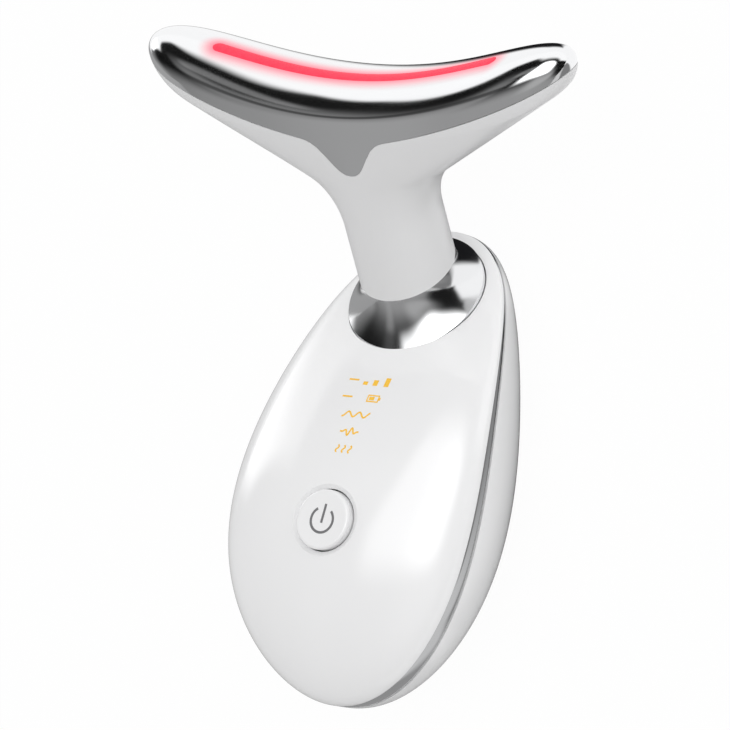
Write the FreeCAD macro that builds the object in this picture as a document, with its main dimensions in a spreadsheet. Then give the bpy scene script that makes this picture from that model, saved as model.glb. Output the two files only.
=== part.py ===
"""Face and neck massager: an egg-shaped handle, a flared neck collar and a winged massage head.

The part lies on its back. +Z is up, along the travel of the power button, +Y runs from the tail of the
handle to the head and +X is to the right. The origin is on the flat that the rear cover rests on.
All sizes are millimetres and degrees.
"""
import FreeCAD
import Part
import Sketcher
import os
import re
from math import cos, exp, pi, radians, sin, sqrt

Vector = FreeCAD.Vector
Placement = FreeCAD.Placement
Rotation = FreeCAD.Rotation

doc = FreeCAD.newDocument("Massager")
sheet = doc.addObject("Spreadsheet::Sheet", "Sizes")

# Driving dimensions: name, value, what it is
SIZES = [
    ("half_length", 47.7, "handle outline, half its length"),
    ("half_width", 27.65, "handle outline, half its width"),
    ("outline_centre", -4.4, "place of the outline's centre along Y"),
    ("egg_taper", 0.053, "how much wider the tail half is"),
    ("egg_waist", 0.038, "fullness of both ends"),
    ("egg_nose", -0.041, "narrowing of the neck end"),
    ("seam_height", 26.15, "height of the front cover's edge at the outline's centre"),
    ("seam_slope", 9.98, "fall of that edge towards the neck"),
    ("seam_arch", 10.7, "fall of that edge towards both ends"),
    ("seam_skew", 0.15, "how much more it falls at the tail"),
    ("dome_height", 8.1, "rise of the front cover over its edge"),
    ("dome_lean", 5.1, "extra rise at the tail, less at the neck"),
    ("dome_ease", 2.0, "flattening of both ends"),
    ("front_wall", 2.0, "front cover, wall"),
    ("ledge", 0.8, "front cover, height of the ledge over its edge"),
    ("hollow_neck", 19.3, "front cover, distance of its hollow from the neck end"),
    ("hollow_lean", 1.6, "front cover, extra height of the hollow at the tail"),
    ("trim_band", 2.65, "trim ring, height of the band at the outline's centre"),
    ("trim_taper", 1.75, "trim ring, how much higher the band is at the tail"),
    ("trim_width", 2.0, "trim ring, width, and wall of the rear cover"),
    ("seam_gap", 0.12, "gap on both sides of the trim ring"),
    ("lip_wall", 1.6, "front cover, wall of the lip inside the trim ring"),
    ("lip_gap", 0.5, "front cover, gap between the lip and the trim ring"),
    ("lip_depth", 0.6, "front cover, how far the lip reaches into the rear cover"),
    ("bowl_depth", 19.9, "rear cover, depth below the trim ring"),
    ("bowl_lean", 0.32, "rear cover, how much deeper the tail half is"),
    ("bowl_fill", 0.27, "rear cover, fullness of both ends"),
    ("bowl_square", 0.17, "rear cover, squareness of its cross-sections"),
    ("floor_wall", 2.3, "rear cover, wall over the flat that it rests on"),
    ("button_share", -0.277, "power button, place along Y as a share of the half length"),
    ("button_radius", 5.85, "power button cap, radius"),
    ("button_rise", 0.75, "power button cap, how far it stands over the panel"),
    ("button_round", 0.6, "power button cap, rounded edge"),
    ("button_gap", 0.25, "power button, running gap in the front cover"),
    ("button_flange", 1.4, "power button, how far the flange reaches under the cover"),
    ("button_flange_thick", 1.0, "power button, thickness of the flange"),
    ("button_travel", 0.6, "power button, travel"),
    ("post_radius", 2.2, "power button, radius of the post"),
    ("dish_width", 1.5, "front cover, width of the dish round the button"),
    ("dish_depth", 1.0, "front cover, depth of the dish round the button"),
    ("button_seat", 1.5, "front cover, wall left round the button hole"),
    ("board_tail", 14.1, "main board, distance from the tail end"),
    ("board_neck", 31.3, "main board, distance from the neck end"),
    ("board_width", 30.0, "main board, width"),
    ("board_thick", 1.6, "circuit boards, thickness"),
    ("board_height", 22.4, "main board, height of its lower face"),
    ("board_screw_x", 11.0, "main board screws, half their distance across"),
    ("board_screw_inset", 5.0, "main board screws, distance from the ends of the board"),
    ("screw_radius", 0.9, "small screws, thread radius"),
    ("screw_length", 5.0, "small screws, thread length"),
    ("screw_head_radius", 1.8, "small screws, head radius"),
    ("screw_head_height", 1.1, "small screws, head height"),
    ("screw_gap", 0.15, "small screws, gap in the boards"),
    ("thread_gap", 0.02, "small screws, gap round the thread in a post"),
    ("tip_gap", 0.2, "small screws, gap under the tip in a post"),
    ("boss_radius", 2.4, "screw bosses, radius"),
    ("switch_width", 6.0, "push switch, width of its body"),
    ("switch_height", 3.4, "push switch, height of its body"),
    ("switch_floor", 0.6, "push switch, floor under the plunger"),
    ("plunger_radius", 1.75, "push switch, plunger radius"),
    ("plunger_gap", 0.1, "push switch, gap round the plunger"),
    ("plunger_rise", 1.2, "push switch, how far the plunger stands out"),
    ("row_first", 0.0165, "panel marks, place of the lowest row as a share of the half length"),
    ("row_step", 0.0734, "panel marks, distance between rows as a share of the half length"),
    ("cell_width", 5.5, "light mask, width of a cell"),
    ("cell_height", 2.4, "light mask, height of a cell"),
    ("cell_offset", 3.6, "light mask, half the distance between two cells"),
    ("mask_wall", 1.6, "light mask, wall round the cells"),
    ("mask_gap", 0.15, "light mask, gap under the front cover"),
    ("lamp_length", 2.0, "indicator lamps, length"),
    ("lamp_width", 1.2, "indicator lamps, width"),
    ("lamp_height", 0.7, "indicator lamps, height"),
    ("chip_width", 7.0, "control chip, width"),
    ("chip_thick", 1.0, "control chip, thickness"),
    ("chip_offset", 8.5, "control chip, distance from the middle line"),
    ("coil_radius", 4.5, "pulse coil, radius"),
    ("coil_height", 7.0, "pulse coil, height"),
    ("coil_offset", 5.0, "pulse coil, distance from the middle line"),
    ("coil_tail", 25.0, "pulse coil, distance from the tail end"),
    ("battery_width", 20.0, "battery, width"),
    ("battery_tail", 34.1, "battery, distance from the tail end"),
    ("battery_neck", 29.3, "battery, distance from the neck end"),
    ("battery_thick", 9.0, "battery, thickness"),
    ("battery_round", 2.0, "battery, radius of its long edges"),
    ("pad_thick", 1.2, "battery pad, thickness"),
    ("pad_inset", 3.5, "battery pad, how far it stays inside the battery's edge"),
    ("charge_height", 12.2, "charge board, height of its lower face"),
    ("charge_width", 12.0, "charge board, width"),
    ("charge_length", 12.0, "charge board, length"),
    ("charge_tail", 16.6, "charge board, distance of its centre from the tail end"),
    ("charge_screw_y", 4.0, "charge board screws, distance from the board's front edge"),
    ("charge_screw_x", 4.0, "charge board screws, half their distance across"),
    ("socket_width", 8.95, "charging socket, width"),
    ("socket_height", 3.2, "charging socket, height"),
    ("socket_length", 9.2, "charging socket, length"),
    ("socket_round", 1.2, "charging socket, radius of its corners"),
    ("socket_wall", 0.3, "charging socket, sheet thickness"),
    ("socket_tail", 3.4, "charging socket, distance of its mouth from the tail end"),
    ("socket_gap", 0.3, "charging socket, gap in the rear cover"),
    ("socket_back", 1.4, "charging socket, thickness of its back"),
    ("tongue_width", 6.7, "charging socket, width of the tongue"),
    ("tongue_thick", 0.7, "charging socket, thickness of the tongue"),
    ("tongue_back", 1.2, "charging socket, how far the tongue stays inside the mouth"),
    ("collar_neck", 13.85, "collar rim, distance of its centre from the neck end"),
    ("collar_rise", 2.65, "collar rim, height of its centre over the front cover's edge"),
    ("collar_tilt", 29.0, "collar rim, lean of its axis towards the head"),
    ("collar_radius", 14.15, "collar rim, radius"),
    ("collar_gap", 0.15, "collar, gap in the front cover"),
    ("collar_skirt", 3.0, "collar, depth of the skirt below its rim"),
    ("collar_skirt_wall", 2.1, "collar, wall of the skirt"),
    ("skirt_lap", 0.01, "collar, how far the skirt runs into the flare"),
    ("collar_flare", 2.2, "collar, how hollow its flare is"),
    ("collar_boss", 10.0, "collar, depth of the boss below the stem"),
    ("stem_forward", 4.7, "foot of the stem, distance along Y from the centre of the rim"),
    ("stem_rise", 4.4, "foot of the stem, height over the centre of the rim"),
    ("stem_tilt", 36.5, "foot of the stem, lean of its face towards the head"),
    ("stem_lean", 49.1, "stem, lean of its axis towards the head"),
    ("stem_radius", 9.75, "stem, radius"),
    ("stem_seam", 0.15, "how far the collar stays inside the stem"),
    ("stem_straight", 11.8, "stem, straight length before it flares"),
    ("stem_floor", 2.6, "stem, thickness of the floor at its foot"),
    ("flare_radius", 13.75, "head, radius between the stem and a wing"),
    ("wing_rise", 31.5, "head, climb of a wing's underside, in degrees"),
    ("wing_reach", 47.3, "head, half its width"),
    ("tip_radius", 6.5, "head, radius under a wing's tip"),
    ("head_half_depth", 10.25, "head, half its depth"),
    ("head_full", 0.27, "head, fullness of the wings seen from above"),
    ("head_blunt", 0.3, "head, bluntness of the tips seen from above"),
    ("head_sweep", 1.6, "head, how far the tips are swept to the back"),
    ("head_bow", 8.85, "head, how much higher its tips are than its middle"),
    ("crown_height", 4.3, "head, rise of the massage face over its widest line"),
    ("crown_tips", 7.4, "head, extra rise of the massage face near the tips"),
    ("shell_wall", 2.0, "head shell, wall"),
    ("plate_wall", 1.4, "massage plate, wall"),
    ("plate_drop", 5.0, "massage plate, drop of its lower edge under the head's widest line"),
    ("plate_tip_drop", 0.95, "massage plate, the same drop at the tips"),
    ("tongue_drop", 6.6, "massage plate, drop of the tongue"),
    ("tongue_half", 5.0, "massage plate, half the width of the tongue"),
    ("tongue_power", 2.6, "massage plate, squareness of the tongue"),
    ("edge_power", 1.5, "massage plate, how late its edge climbs to the tips"),
    ("window_end", 15.6, "light window, distance of its ends from the tips"),
    ("window_width", 2.9, "light window, width"),
    ("light_level", 0.2, "lights and heater film, how far over the head's widest line they stay"),
    ("light_gap", 0.2, "gap between the light window and its lamps"),
    ("light_lamp", 1.0, "lamps of the light window, height"),
    ("light_lamp_length", 2.2, "lamps of the light window, length"),
    ("light_lamp_width", 1.6, "lamps of the light window, width"),
    ("light_lamp_step", 4.4, "lamps of the light window, distance between two"),
    ("light_board_end", 0.7, "light board, how much shorter than the window at each end"),
    ("light_board_width", 5.0, "light board, width"),
    ("light_board_thick", 0.8, "light board, thickness"),
    ("film_end", 22.3, "heater film, distance of its ends from the tips"),
    ("film_thick", 0.4, "heater film, thickness"),
    ("film_start", 3.4, "heater film, distance from the middle of the massage face"),
    ("film_width", 4.2, "heater film, width"),
    ("tube_radius", 7.2, "neck tube, radius"),
    ("tube_wall", 1.0, "neck tube, wall"),
    ("tube_flange", 0.4, "neck tube, how far its flange stands out"),
    ("tube_flange_thick", 1.2, "neck tube, thickness of the flange"),
    ("tube_gap", 0.05, "neck tube, gap in the collar and the stem"),
    ("washer_thick", 0.8, "neck washer, thickness"),
    ("washer_width", 1.6, "neck washer, width"),
    ("nut_thick", 3.0, "neck nut, thickness"),
    ("nut_across", 17.4, "neck nut, distance across its flats"),
    ("motor_radius", 4.0, "motor can, radius"),
    ("motor_length", 14.0, "motor can, length"),
    ("motor_place", 5.2, "motor can, place of its foot over the stem's foot"),
    ("boot_length", 12.0, "motor boot, length"),
    ("boot_gap", 0.05, "motor boot, gap to the motor and the stem"),
    ("shaft_radius", 0.75, "motor shaft, radius"),
    ("shaft_gap", 0.04, "motor shaft, running gap"),
    ("shaft_seat", 9.0, "motor shaft, length inside the can"),
    ("shaft_rise", 6.5, "motor shaft, length outside the can"),
    ("weight_radius", 3.6, "eccentric weight, radius"),
    ("weight_hub", 1.6, "eccentric weight, hub radius"),
    ("weight_length", 5.0, "eccentric weight, length"),
    ("lead_radius", 0.9, "head lead, radius"),
    ("lead_offset", 5.2, "head lead, distance behind the stem's axis"),
    ("lead_gap", 0.3, "head lead, room round it in the motor boot"),
    ("lead_start", 1.0, "head lead, how far its start lies below the head's widest line"),
    ("lead_below", 3.5, "head lead, how far its first turn lies below the nut"),
    ("lead_rise_y", 3.2, "head lead, second turn, distance from the battery"),
    ("lead_rise_z", 8.8, "head lead, second turn, height"),
    ("lead_edge_y", 2.4, "head lead, third turn, distance from the battery"),
    ("lead_edge_z", 5.4, "head lead, third turn, depth below the main board"),
    ("lead_end_y", 3.0, "head lead, distance of its end from the main board's edge"),
    ("lead_end_z", 1.1, "head lead, depth of its end below the main board"),
]

for row, (alias, value, note) in enumerate(SIZES, start=1):
    sheet.set("A%d" % row, alias)
    sheet.set("B%d" % row, str(value))
    sheet.set("C%d" % row, note)
    sheet.setAlias("B%d" % row, alias)
doc.recompute()


def size(name):
    """The value of a driving dimension."""
    return float(sheet.get(name))


def bind(item, **expressions):
    """Tie an object's properties to the sheet; a size is written by its name alone."""
    known = {alias for alias, _, _ in SIZES}
    for prop, expression in expressions.items():
        tied = re.sub(r"\w+", lambda w: ("Sizes." if w.group() in known else "") + w.group(), expression)
        item.setExpression(prop, tied)


# Document objects

def form(name, shape):
    item = doc.addObject("Part::Feature", name)
    item.Shape = shape
    return item


def box(name, low, length, width, height, place=None):
    """A block whose corner is low, in the frame of place."""
    item = doc.addObject("Part::Box", name)
    bind(item, Length=length, Width=width, Height=height)
    item.Placement = (place or Placement()).multiply(Placement(low, Rotation()))
    return item


def cylinder(name, radius, height, place):
    item = doc.addObject("Part::Cylinder", name)
    bind(item, Radius=radius, Height=height)
    item.Placement = place
    return item


def fuse(name, *items):
    item = doc.addObject("Part::MultiFuse", name)
    item.Shapes = list(items)
    return item


def common(name, *items):
    item = doc.addObject("Part::MultiCommon", name)
    item.Shapes = list(items)
    return item


def cut(name, base, *tools):
    for number, tool in enumerate(tools, start=1):
        item = doc.addObject("Part::Cut", name if number == len(tools) else "%s_cut_%d" % (name, number))
        item.Base = base
        item.Tool = tool
        base = item
    return base


def group(name, items):
    item = doc.addObject("Part::Compound", name)
    item.Links = list(items)
    return item


def round_sides(name, block, radius):
    """A block with its four edges along Y rounded."""
    item = doc.addObject("Part::Fillet", name)
    item.Base = block
    item.Edges = [(edge, radius, radius) for edge in (2, 4, 6, 8)]
    return item


def body_sketch(name, place):
    """A new body at place with a sketch on its own XY plane."""
    body = doc.addObject("PartDesign::Body", name)
    body.Placement = place
    sketch = body.newObject("Sketcher::SketchObject", name + "_sketch")
    plane = next(item for item in body.Origin.OriginFeatures if item.Role == "XY_Plane")
    sketch.AttachmentSupport = [(plane, "")]
    sketch.MapMode = "FlatFace"
    return body, sketch


def circle(sketch, radius, x=0.0, y=0.0):
    """A circle in a sketch, its radius tied to the sheet and its centre locked."""
    index = sketch.addGeometry(Part.Circle(Vector(x, y, 0), Vector(0, 0, 1), 1.0), False)
    number = sketch.addConstraint(Sketcher.Constraint("Radius", index, 1.0))
    sketch.addConstraint(Sketcher.Constraint("DistanceX", -1, 1, index, 3, x))
    sketch.addConstraint(Sketcher.Constraint("DistanceY", -1, 1, index, 3, y))
    bind(sketch, **{"Constraints[%d]" % number: radius})


def rectangle(sketch, length_x, length_y):
    """A rectangle round the sketch's origin, its sides tied to the sheet."""
    corners = [Vector(-1, -1, 0), Vector(1, -1, 0), Vector(1, 1, 0), Vector(-1, 1, 0)]
    for here, there in zip(corners, corners[1:] + corners[:1]):
        sketch.addGeometry(Part.LineSegment(here, there), False)
    for line in range(4):
        sketch.addConstraint(Sketcher.Constraint("Coincident", line, 2, (line + 1) % 4, 1))
    for line, kind in enumerate(("Horizontal", "Vertical", "Horizontal", "Vertical")):
        sketch.addConstraint(Sketcher.Constraint(kind, line))
    sketch.addConstraint(Sketcher.Constraint("Symmetric", 0, 1, 2, 1, -1, 1))
    across = sketch.addConstraint(Sketcher.Constraint("DistanceX", 0, 1, 0, 2, 2.0))
    along = sketch.addConstraint(Sketcher.Constraint("DistanceY", 1, 1, 1, 2, 2.0))
    bind(sketch, **{"Constraints[%d]" % across: length_x, "Constraints[%d]" % along: length_y})


def pad(body, sketch, length):
    feature = body.newObject("PartDesign::Pad", body.Name + "_pad")
    feature.Profile = sketch
    bind(feature, Length=length)
    return body


def ring(name, place, outer, inner, length):
    """A body that is a plain ring standing on place."""
    body, sketch = body_sketch(name, place)
    circle(sketch, outer)
    circle(sketch, inner)
    return pad(body, sketch, length)


# Smooth surfaces

def even(count):
    return [i / (count - 1) for i in range(count)]


def through(points):
    """The curve through evenly timed points, or None where they are all one point."""
    if all(point.isEqual(points[0], 1e-9) for point in points):
        return None
    curve = Part.BSplineCurve()
    curve.interpolate(Points=list(points), Parameters=even(len(points)))
    return curve


def surface(rows):
    """The smooth surface through a grid of points; a row may shrink to one point."""
    curves = [through(row) for row in rows]
    pattern = next(curve for curve in curves if curve)
    nets = [curve.getPoles() if curve else [row[0]] * pattern.NbPoles for curve, row in zip(curves, rows)]
    columns = [through(column) for column in zip(*nets)]
    poles = [list(row) for row in zip(*[column.getPoles() for column in columns])]
    result = Part.BSplineSurface()
    result.buildFromPolesMultsKnots(poles, columns[0].getMultiplicities(), pattern.getMultiplicities(),
                                    columns[0].getKnots(), pattern.getKnots(), False, False, 3, 3)
    return result


def closed(faces):
    """The solid inside faces that meet edge to edge."""
    shell = Part.makeShell(faces)
    shell.sewShape()
    solid = Part.makeSolid(shell)
    if solid.Volume < 0:
        solid.reverse()
    return solid


def smooth_wire(points):
    """One smooth edge through points that lie in a plane."""
    return through(points).toShape()


def prism_of_curve(points, far, direction):
    """The solid between a curve and the two corners far, carried along direction both ways."""
    edge = smooth_wire(points)
    lines = [Part.LineSegment(points[-1], far[0]), Part.LineSegment(far[0], far[1]),
             Part.LineSegment(far[1], points[0])]
    face = Part.Face(Part.Wire([edge] + [line.toShape() for line in lines]))
    face.translate(direction * -1)
    return face.extrude(direction * 2)


# Handle forms

ALONG = 33     # grid points from the tail to the neck
ROUND = 19     # grid points across, from the right edge over the top to the left edge
MARGIN = 4.0   # how far cutters reach past what they cut
TALL = 80.0    # longer than anything that a cutter passes through
DEEP = 30.0    # deeper than any wall that a cutter passes through
LIFT = 0.6     # how far a hollow stands over the edge that it opens
NEAR = 0.5     # half the length over which a slope is taken


def station(step):
    """The angle of a grid step, 0 at the tail and pi at the neck."""
    return pi * step / (ALONG - 1)


def half_width_at(angle, inset=0.0):
    """Half the handle's width at a station; both outline sizes shrink by the inset."""
    shape = 1 + size("egg_taper") * cos(angle) + size("egg_waist") * cos(2 * angle)
    shape += size("egg_nose") * cos(3 * angle)
    return (size("half_width") - inset) * sin(angle) * shape


def seam_at(y):
    """Height of the front cover's edge at a place along the handle."""
    u = (y - size("outline_centre")) / size("half_length")
    arch = size("seam_arch") * u * u * (1 - size("seam_skew") * u)
    return size("seam_height") - size("seam_slope") * u - arch


def band_at(y):
    """Height of the trim ring's band at a place along the handle."""
    u = (y - size("outline_centre")) / size("half_length")
    return size("trim_band") - size("trim_taper") * u


def dome_at(angle):
    """Rise of the front cover over its edge at a station's middle."""
    u = -cos(angle)
    return sin(angle) * (size("dome_height") - size("dome_lean") * u - size("dome_ease") * u * u)


def panel_at(y):
    """Height of the front cover on its middle line."""
    u = (y - size("outline_centre")) / size("half_length")
    rise = size("dome_height") - size("dome_lean") * u - size("dome_ease") * u * u
    return seam_at(y) + sqrt(1 - u * u) * rise


def cap(place_at, width_at, base_at, rise_at, square=0.0):
    """A solid cap: half-ellipse sections over a curved base, shrinking to a point at both ends.

    At each station the section is x = width cos a (1 + square sin^2 a) and
    z = base + rise sin a (1 + square cos^2 a), for a from 0 to 180 degrees.
    """
    rows = []
    for step in range(ALONG):
        angle = station(step)
        end = step in (0, ALONG - 1)
        y = place_at(angle)
        width = 0.0 if end else width_at(angle)
        rise = 0.0 if end else rise_at(angle)
        row = []
        for turn in range(ROUND):
            a = pi * turn / (ROUND - 1)
            x = width * cos(a) * (1 + square * sin(a) ** 2)
            z = base_at(y) + rise * sin(a) * (1 + square * cos(a) ** 2)
            row.append(Vector(x, y, z))
        rows.append(row)
    skin = surface(rows)
    base = Part.makeRuledSurface(skin.vIso(0).toShape(), skin.vIso(1).toShape())
    return closed([skin.toShape(), base])


def egg_prism(inset, low, high):
    """The handle's outline, drawn in by inset, as an upright prism."""
    points = []
    for step in range(2 * ALONG - 2):
        angle = pi * step / (ALONG - 1)
        y = size("outline_centre") - (size("half_length") - inset) * cos(angle)
        points.append(Vector(half_width_at(angle, inset), y, low))
    curve = Part.BSplineCurve()
    curve.interpolate(Points=points, PeriodicFlag=True)
    return Part.Face(Part.Wire(curve.toShape())).extrude(Vector(0, 0, high - low))


def below(height_at):
    """Everything under a line drawn on the handle's side view."""
    reach = size("half_length") + MARGIN
    places = [size("outline_centre") + reach * (2 * part - 1) for part in even(ALONG)]
    points = [Vector(0, y, height_at(y)) for y in places]
    far = [Vector(0, places[-1], -TALL / 2), Vector(0, places[0], -TALL / 2)]
    return prism_of_curve(points, far, Vector(size("half_width") + MARGIN, 0, 0))


def outline_place(inset=0.0):
    return lambda angle: size("outline_centre") - (size("half_length") - inset) * cos(angle)


lip_inset = size("trim_width") + size("lip_gap")
mouth_inset = lip_inset + size("lip_wall")
trim_top = lambda y: seam_at(y) - size("seam_gap")
trim_foot = lambda y: seam_at(y) - band_at(y)
bowl_top = lambda y: trim_foot(y) - size("seam_gap")
lip_foot = lambda y: bowl_top(y) - size("lip_depth")

dome_form = form("dome_form", cap(outline_place(), half_width_at, seam_at, dome_at))

# The hollow of the front cover is a cap of its own, which ends before the collar.
hollow_tail = size("outline_centre") - size("half_length") + size("front_wall")
hollow_end = size("outline_centre") + size("half_length") - size("hollow_neck")
hollow_half = (hollow_end - hollow_tail) / 2
hollow_middle = (hollow_end + hollow_tail) / 2
hollow_rise = size("dome_height") - size("front_wall") - size("ledge")


def hollow_cap(drop):
    return cap(lambda angle: hollow_middle - hollow_half * cos(angle),
               lambda angle: (size("half_width") - size("front_wall")) * sin(angle),
               lambda y: seam_at(y) + size("ledge") - drop,
               lambda angle: sin(angle) * (hollow_rise + size("hollow_lean") * cos(angle)))


mouth_form = form("mouth_form", egg_prism(mouth_inset, -TALL / 2, TALL / 2).common(
    below(lambda y: seam_at(y) + size("ledge") * 1.2)))
hollow_form = form("hollow_form", hollow_cap(0.0))
room_form = fuse("room_form", dome_form, mouth_form)
lip_prism = egg_prism(lip_inset, -TALL / 2, TALL / 2)
lip_form = form("lip_form", lip_prism.common(below(seam_at)).cut(below(lip_foot)))


# Places that follow from the handle's ends

tail_end = size("outline_centre") - size("half_length")
neck_end = size("outline_centre") + size("half_length")


def share_of_length(name):
    """A place along Y that is given as a share of the half length from the outline's centre."""
    return size("outline_centre") + size(name) * size("half_length")


button_y = share_of_length("button_share")
row_y = share_of_length("row_first")
row_gap = size("row_step") * size("half_length")
board_y = (tail_end + size("board_tail") + neck_end - size("board_neck")) / 2
board_half = (neck_end - size("board_neck") - tail_end - size("board_tail")) / 2
battery_end = neck_end - size("battery_neck")
charge_y = tail_end + size("charge_tail")
mouth_y = tail_end + size("socket_tail")
collar_y = neck_end - size("collar_neck")
collar_z = seam_at(collar_y) + size("collar_rise")
foot_point = Vector(0, collar_y + size("stem_forward"), collar_z + size("stem_rise"))


# Axes and frames

def frame(origin, z_axis):
    """A frame at origin whose Z runs along z_axis and whose X stays the part's X."""
    x_axis = Vector(1, 0, 0)
    y_axis = z_axis.cross(x_axis)
    return Placement(origin, Rotation(x_axis, y_axis, z_axis, "ZXY"))


def leaning(angle):
    """The direction that leans from +Z towards the head by an angle."""
    return Vector(0, sin(radians(angle)), cos(radians(angle)))


collar_frame = frame(Vector(0, collar_y, collar_z), leaning(size("collar_tilt")))
foot_frame = frame(foot_point, leaning(size("stem_tilt")))
stem_frame = frame(foot_point, leaning(size("stem_lean")))
button_height = panel_at(button_y)
button_frame = Placement(Vector(0, button_y, button_height), Rotation())
panel_slope = (panel_at(button_y + NEAR) - panel_at(button_y - NEAR)) / (2 * NEAR)
panel_frame = frame(button_frame.Base, Vector(0, -panel_slope, 1).normalize())
board_top = size("board_height") + size("board_thick")
board_frame = Placement(Vector(0, board_y, size("board_height")), Rotation())


def at(base, x=0.0, y=0.0, z=0.0):
    """A frame moved along its own axes."""
    return base.multiply(Placement(Vector(x, y, z), Rotation()))


# Front cover

def screw_places(half_x, half_y):
    return [(x, y) for x in (-half_x, half_x) for y in (-half_y, half_y)]


board_holes = screw_places(size("board_screw_x"), board_half - size("board_screw_inset"))


def front_cover():
    blank = fuse("front_blank", dome_form, lip_form)
    shell = cut("front_shell", blank, hollow_form, mouth_form)
    posts, holes = [], []
    for number, (x, y) in enumerate(board_holes, start=1):
        place = at(board_frame, x, y, size("board_thick"))
        posts.append(cylinder("board_post_%d" % number, "boss_radius", "%f" % DEEP, place))
        holes.append(cylinder("board_post_hole_%d" % number, "screw_radius", "screw_length - board_thick",
                              place))
    bosses = common("board_bosses", group("board_post_group", posts), room_form)
    whole = fuse("front_with_bosses", shell, bosses)
    collar_hole = cylinder("collar_hole", "collar_radius + collar_gap", "%f" % (2 * DEEP),
                           at(collar_frame, z=-DEEP))
    below_panel = DEEP / 2
    button_hole = cylinder("button_hole", "button_radius + button_gap", "%f" % DEEP,
                           at(button_frame, z=-below_panel))
    seat = cylinder("button_seat_cut", "button_radius + button_flange + 2 * button_gap", "%f" % below_panel,
                    at(button_frame, z=-below_panel - size("button_seat") - size("dish_depth")))
    dish = doc.addObject("Part::Cone", "button_dish")
    bind(dish, Radius1="button_radius + button_gap", Radius2="button_radius + button_gap + 2 * dish_width",
         Height="2 * dish_depth")
    dish.Placement = at(panel_frame, z=-size("dish_depth"))
    return cut("front_cover", whole, group("board_post_holes", holes), collar_hole, button_hole, seat, dish)


def trim_ring():
    walls = egg_prism(0.0, -TALL / 2, TALL / 2).cut(egg_prism(size("trim_width"), -TALL / 2, TALL / 2))
    return form("trim_ring", walls.common(below(trim_top)).cut(below(trim_foot)))


# Rear cover

def bowl(inset, lift):
    """The rear cover's bowl, drawn in by inset; its top is lifted so that a hollow cuts clean through."""
    def depth(angle):
        shape = 1 + size("bowl_lean") * cos(angle) - size("bowl_fill") * cos(2 * angle)
        return -(size("bowl_depth") - inset) * sin(angle) * shape - lift * sin(angle)
    return cap(outline_place(inset), lambda angle: half_width_at(angle, inset),
               lambda y: bowl_top(y) + lift, depth, size("bowl_square"))


charge_frame = Placement(Vector(0, charge_y, size("charge_height")), Rotation())
charge_top = size("charge_height") + size("board_thick")
socket_middle = charge_top + size("socket_height") / 2
charge_hole_y = size("charge_length") / 2 - size("charge_screw_y")
charge_holes = [(x, charge_hole_y) for x in (-size("charge_screw_x"), size("charge_screw_x"))]


def rear_cover():
    outer = form("bowl_form", bowl(0.0, 0.0))
    corner = Vector(-TALL, -TALL, -DEEP)
    side = "%f" % (2 * TALL)
    floor_cut = box("rest_cut", corner, side, side, "%f" % DEEP)
    inner = form("bowl_hollow", bowl(size("trim_width"), LIFT))
    floor_keep = box("floor_keep", corner, side, side, "%f + floor_wall" % DEEP)
    hollow = cut("rear_hollow", inner, floor_keep)
    solid = cut("rear_solid", outer, floor_cut)
    shell = cut("rear_shell", solid, hollow)
    posts, holes = [], []
    for number, (x, y) in enumerate(charge_holes, start=1):
        place = Placement(Vector(x, charge_y + y, 0), Rotation())
        posts.append(cylinder("charge_post_%d" % number, "boss_radius", "charge_height", place))
        tip = size("charge_height") - size("screw_length") + size("board_thick")
        holes.append(cylinder("charge_post_hole_%d" % number, "screw_radius", "screw_length - board_thick",
                              at(place, z=tip)))
    bosses = common("charge_bosses", group("charge_post_group", posts), solid)
    whole = fuse("rear_with_bosses", shell, bosses)
    half = size("socket_width") / 2 + size("socket_gap")
    slot_corner = Vector(-half, -DEEP, -size("socket_height") / 2 - size("socket_gap"))
    slot_block = box("socket_slot_block", slot_corner, "socket_width + 2 * socket_gap",
                     "%f + socket_length" % DEEP, "socket_height + 2 * socket_gap",
                     Placement(Vector(0, mouth_y, socket_middle), Rotation()))
    slot = round_sides("socket_slot", slot_block, size("socket_round") + size("socket_gap"))
    return cut("rear_cover", whole, group("charge_post_holes", holes), slot)


# Power button and its switch

flange_top = -size("button_seat") - size("dish_depth") - size("button_gap")
switch_top = board_top + size("switch_height")


def power_button():
    """A cap whose top lies along the panel, a flange under the cover and a post down to the switch."""
    foot = flange_top - size("button_flange_thick")
    cap_column = cylinder("button_column", "button_radius", "2 * button_radius + %f" % -foot,
                          at(button_frame, z=foot))
    half = 2 * size("button_radius")
    cap_above = box("button_cap_above", Vector(-half, -half, size("button_rise")),
                    "4 * button_radius", "4 * button_radius", "4 * button_radius", panel_frame)
    cap_blank = cut("button_cap_blank", cap_column, cap_above)
    doc.recompute()
    rim = [isinstance(edge.Curve, Part.Ellipse) for edge in cap_blank.Shape.Edges].index(True) + 1
    cap_round = doc.addObject("Part::Fillet", "button_cap")
    cap_round.Base = cap_blank
    cap_round.Edges = [(rim, size("button_round"), size("button_round"))]
    flange = cylinder("button_flange_ring", "button_radius + button_flange", "button_flange_thick",
                      at(button_frame, z=foot))
    length = button_height + foot - switch_top - size("plunger_rise")
    post = cylinder("button_post", "post_radius", "%f" % length, at(button_frame, z=foot - length))
    return fuse("power_button", cap_round, flange, post)


def push_switch():
    half = size("switch_width") / 2
    place = Placement(Vector(0, button_y, board_top), Rotation())
    block = box("switch_block", Vector(-half, -half, 0), "switch_width", "switch_width", "switch_height",
                place)
    bore = cylinder("switch_bore", "plunger_radius + plunger_gap", "switch_height",
                    at(place, z=size("switch_floor")))
    cut("switch_body", block, bore)
    foot = size("switch_floor") + size("button_travel") + size("plunger_gap")
    cylinder("switch_plunger", "plunger_radius", "switch_height + plunger_rise - %f" % foot,
             at(place, z=foot))


# Boards and what they carry

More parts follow.
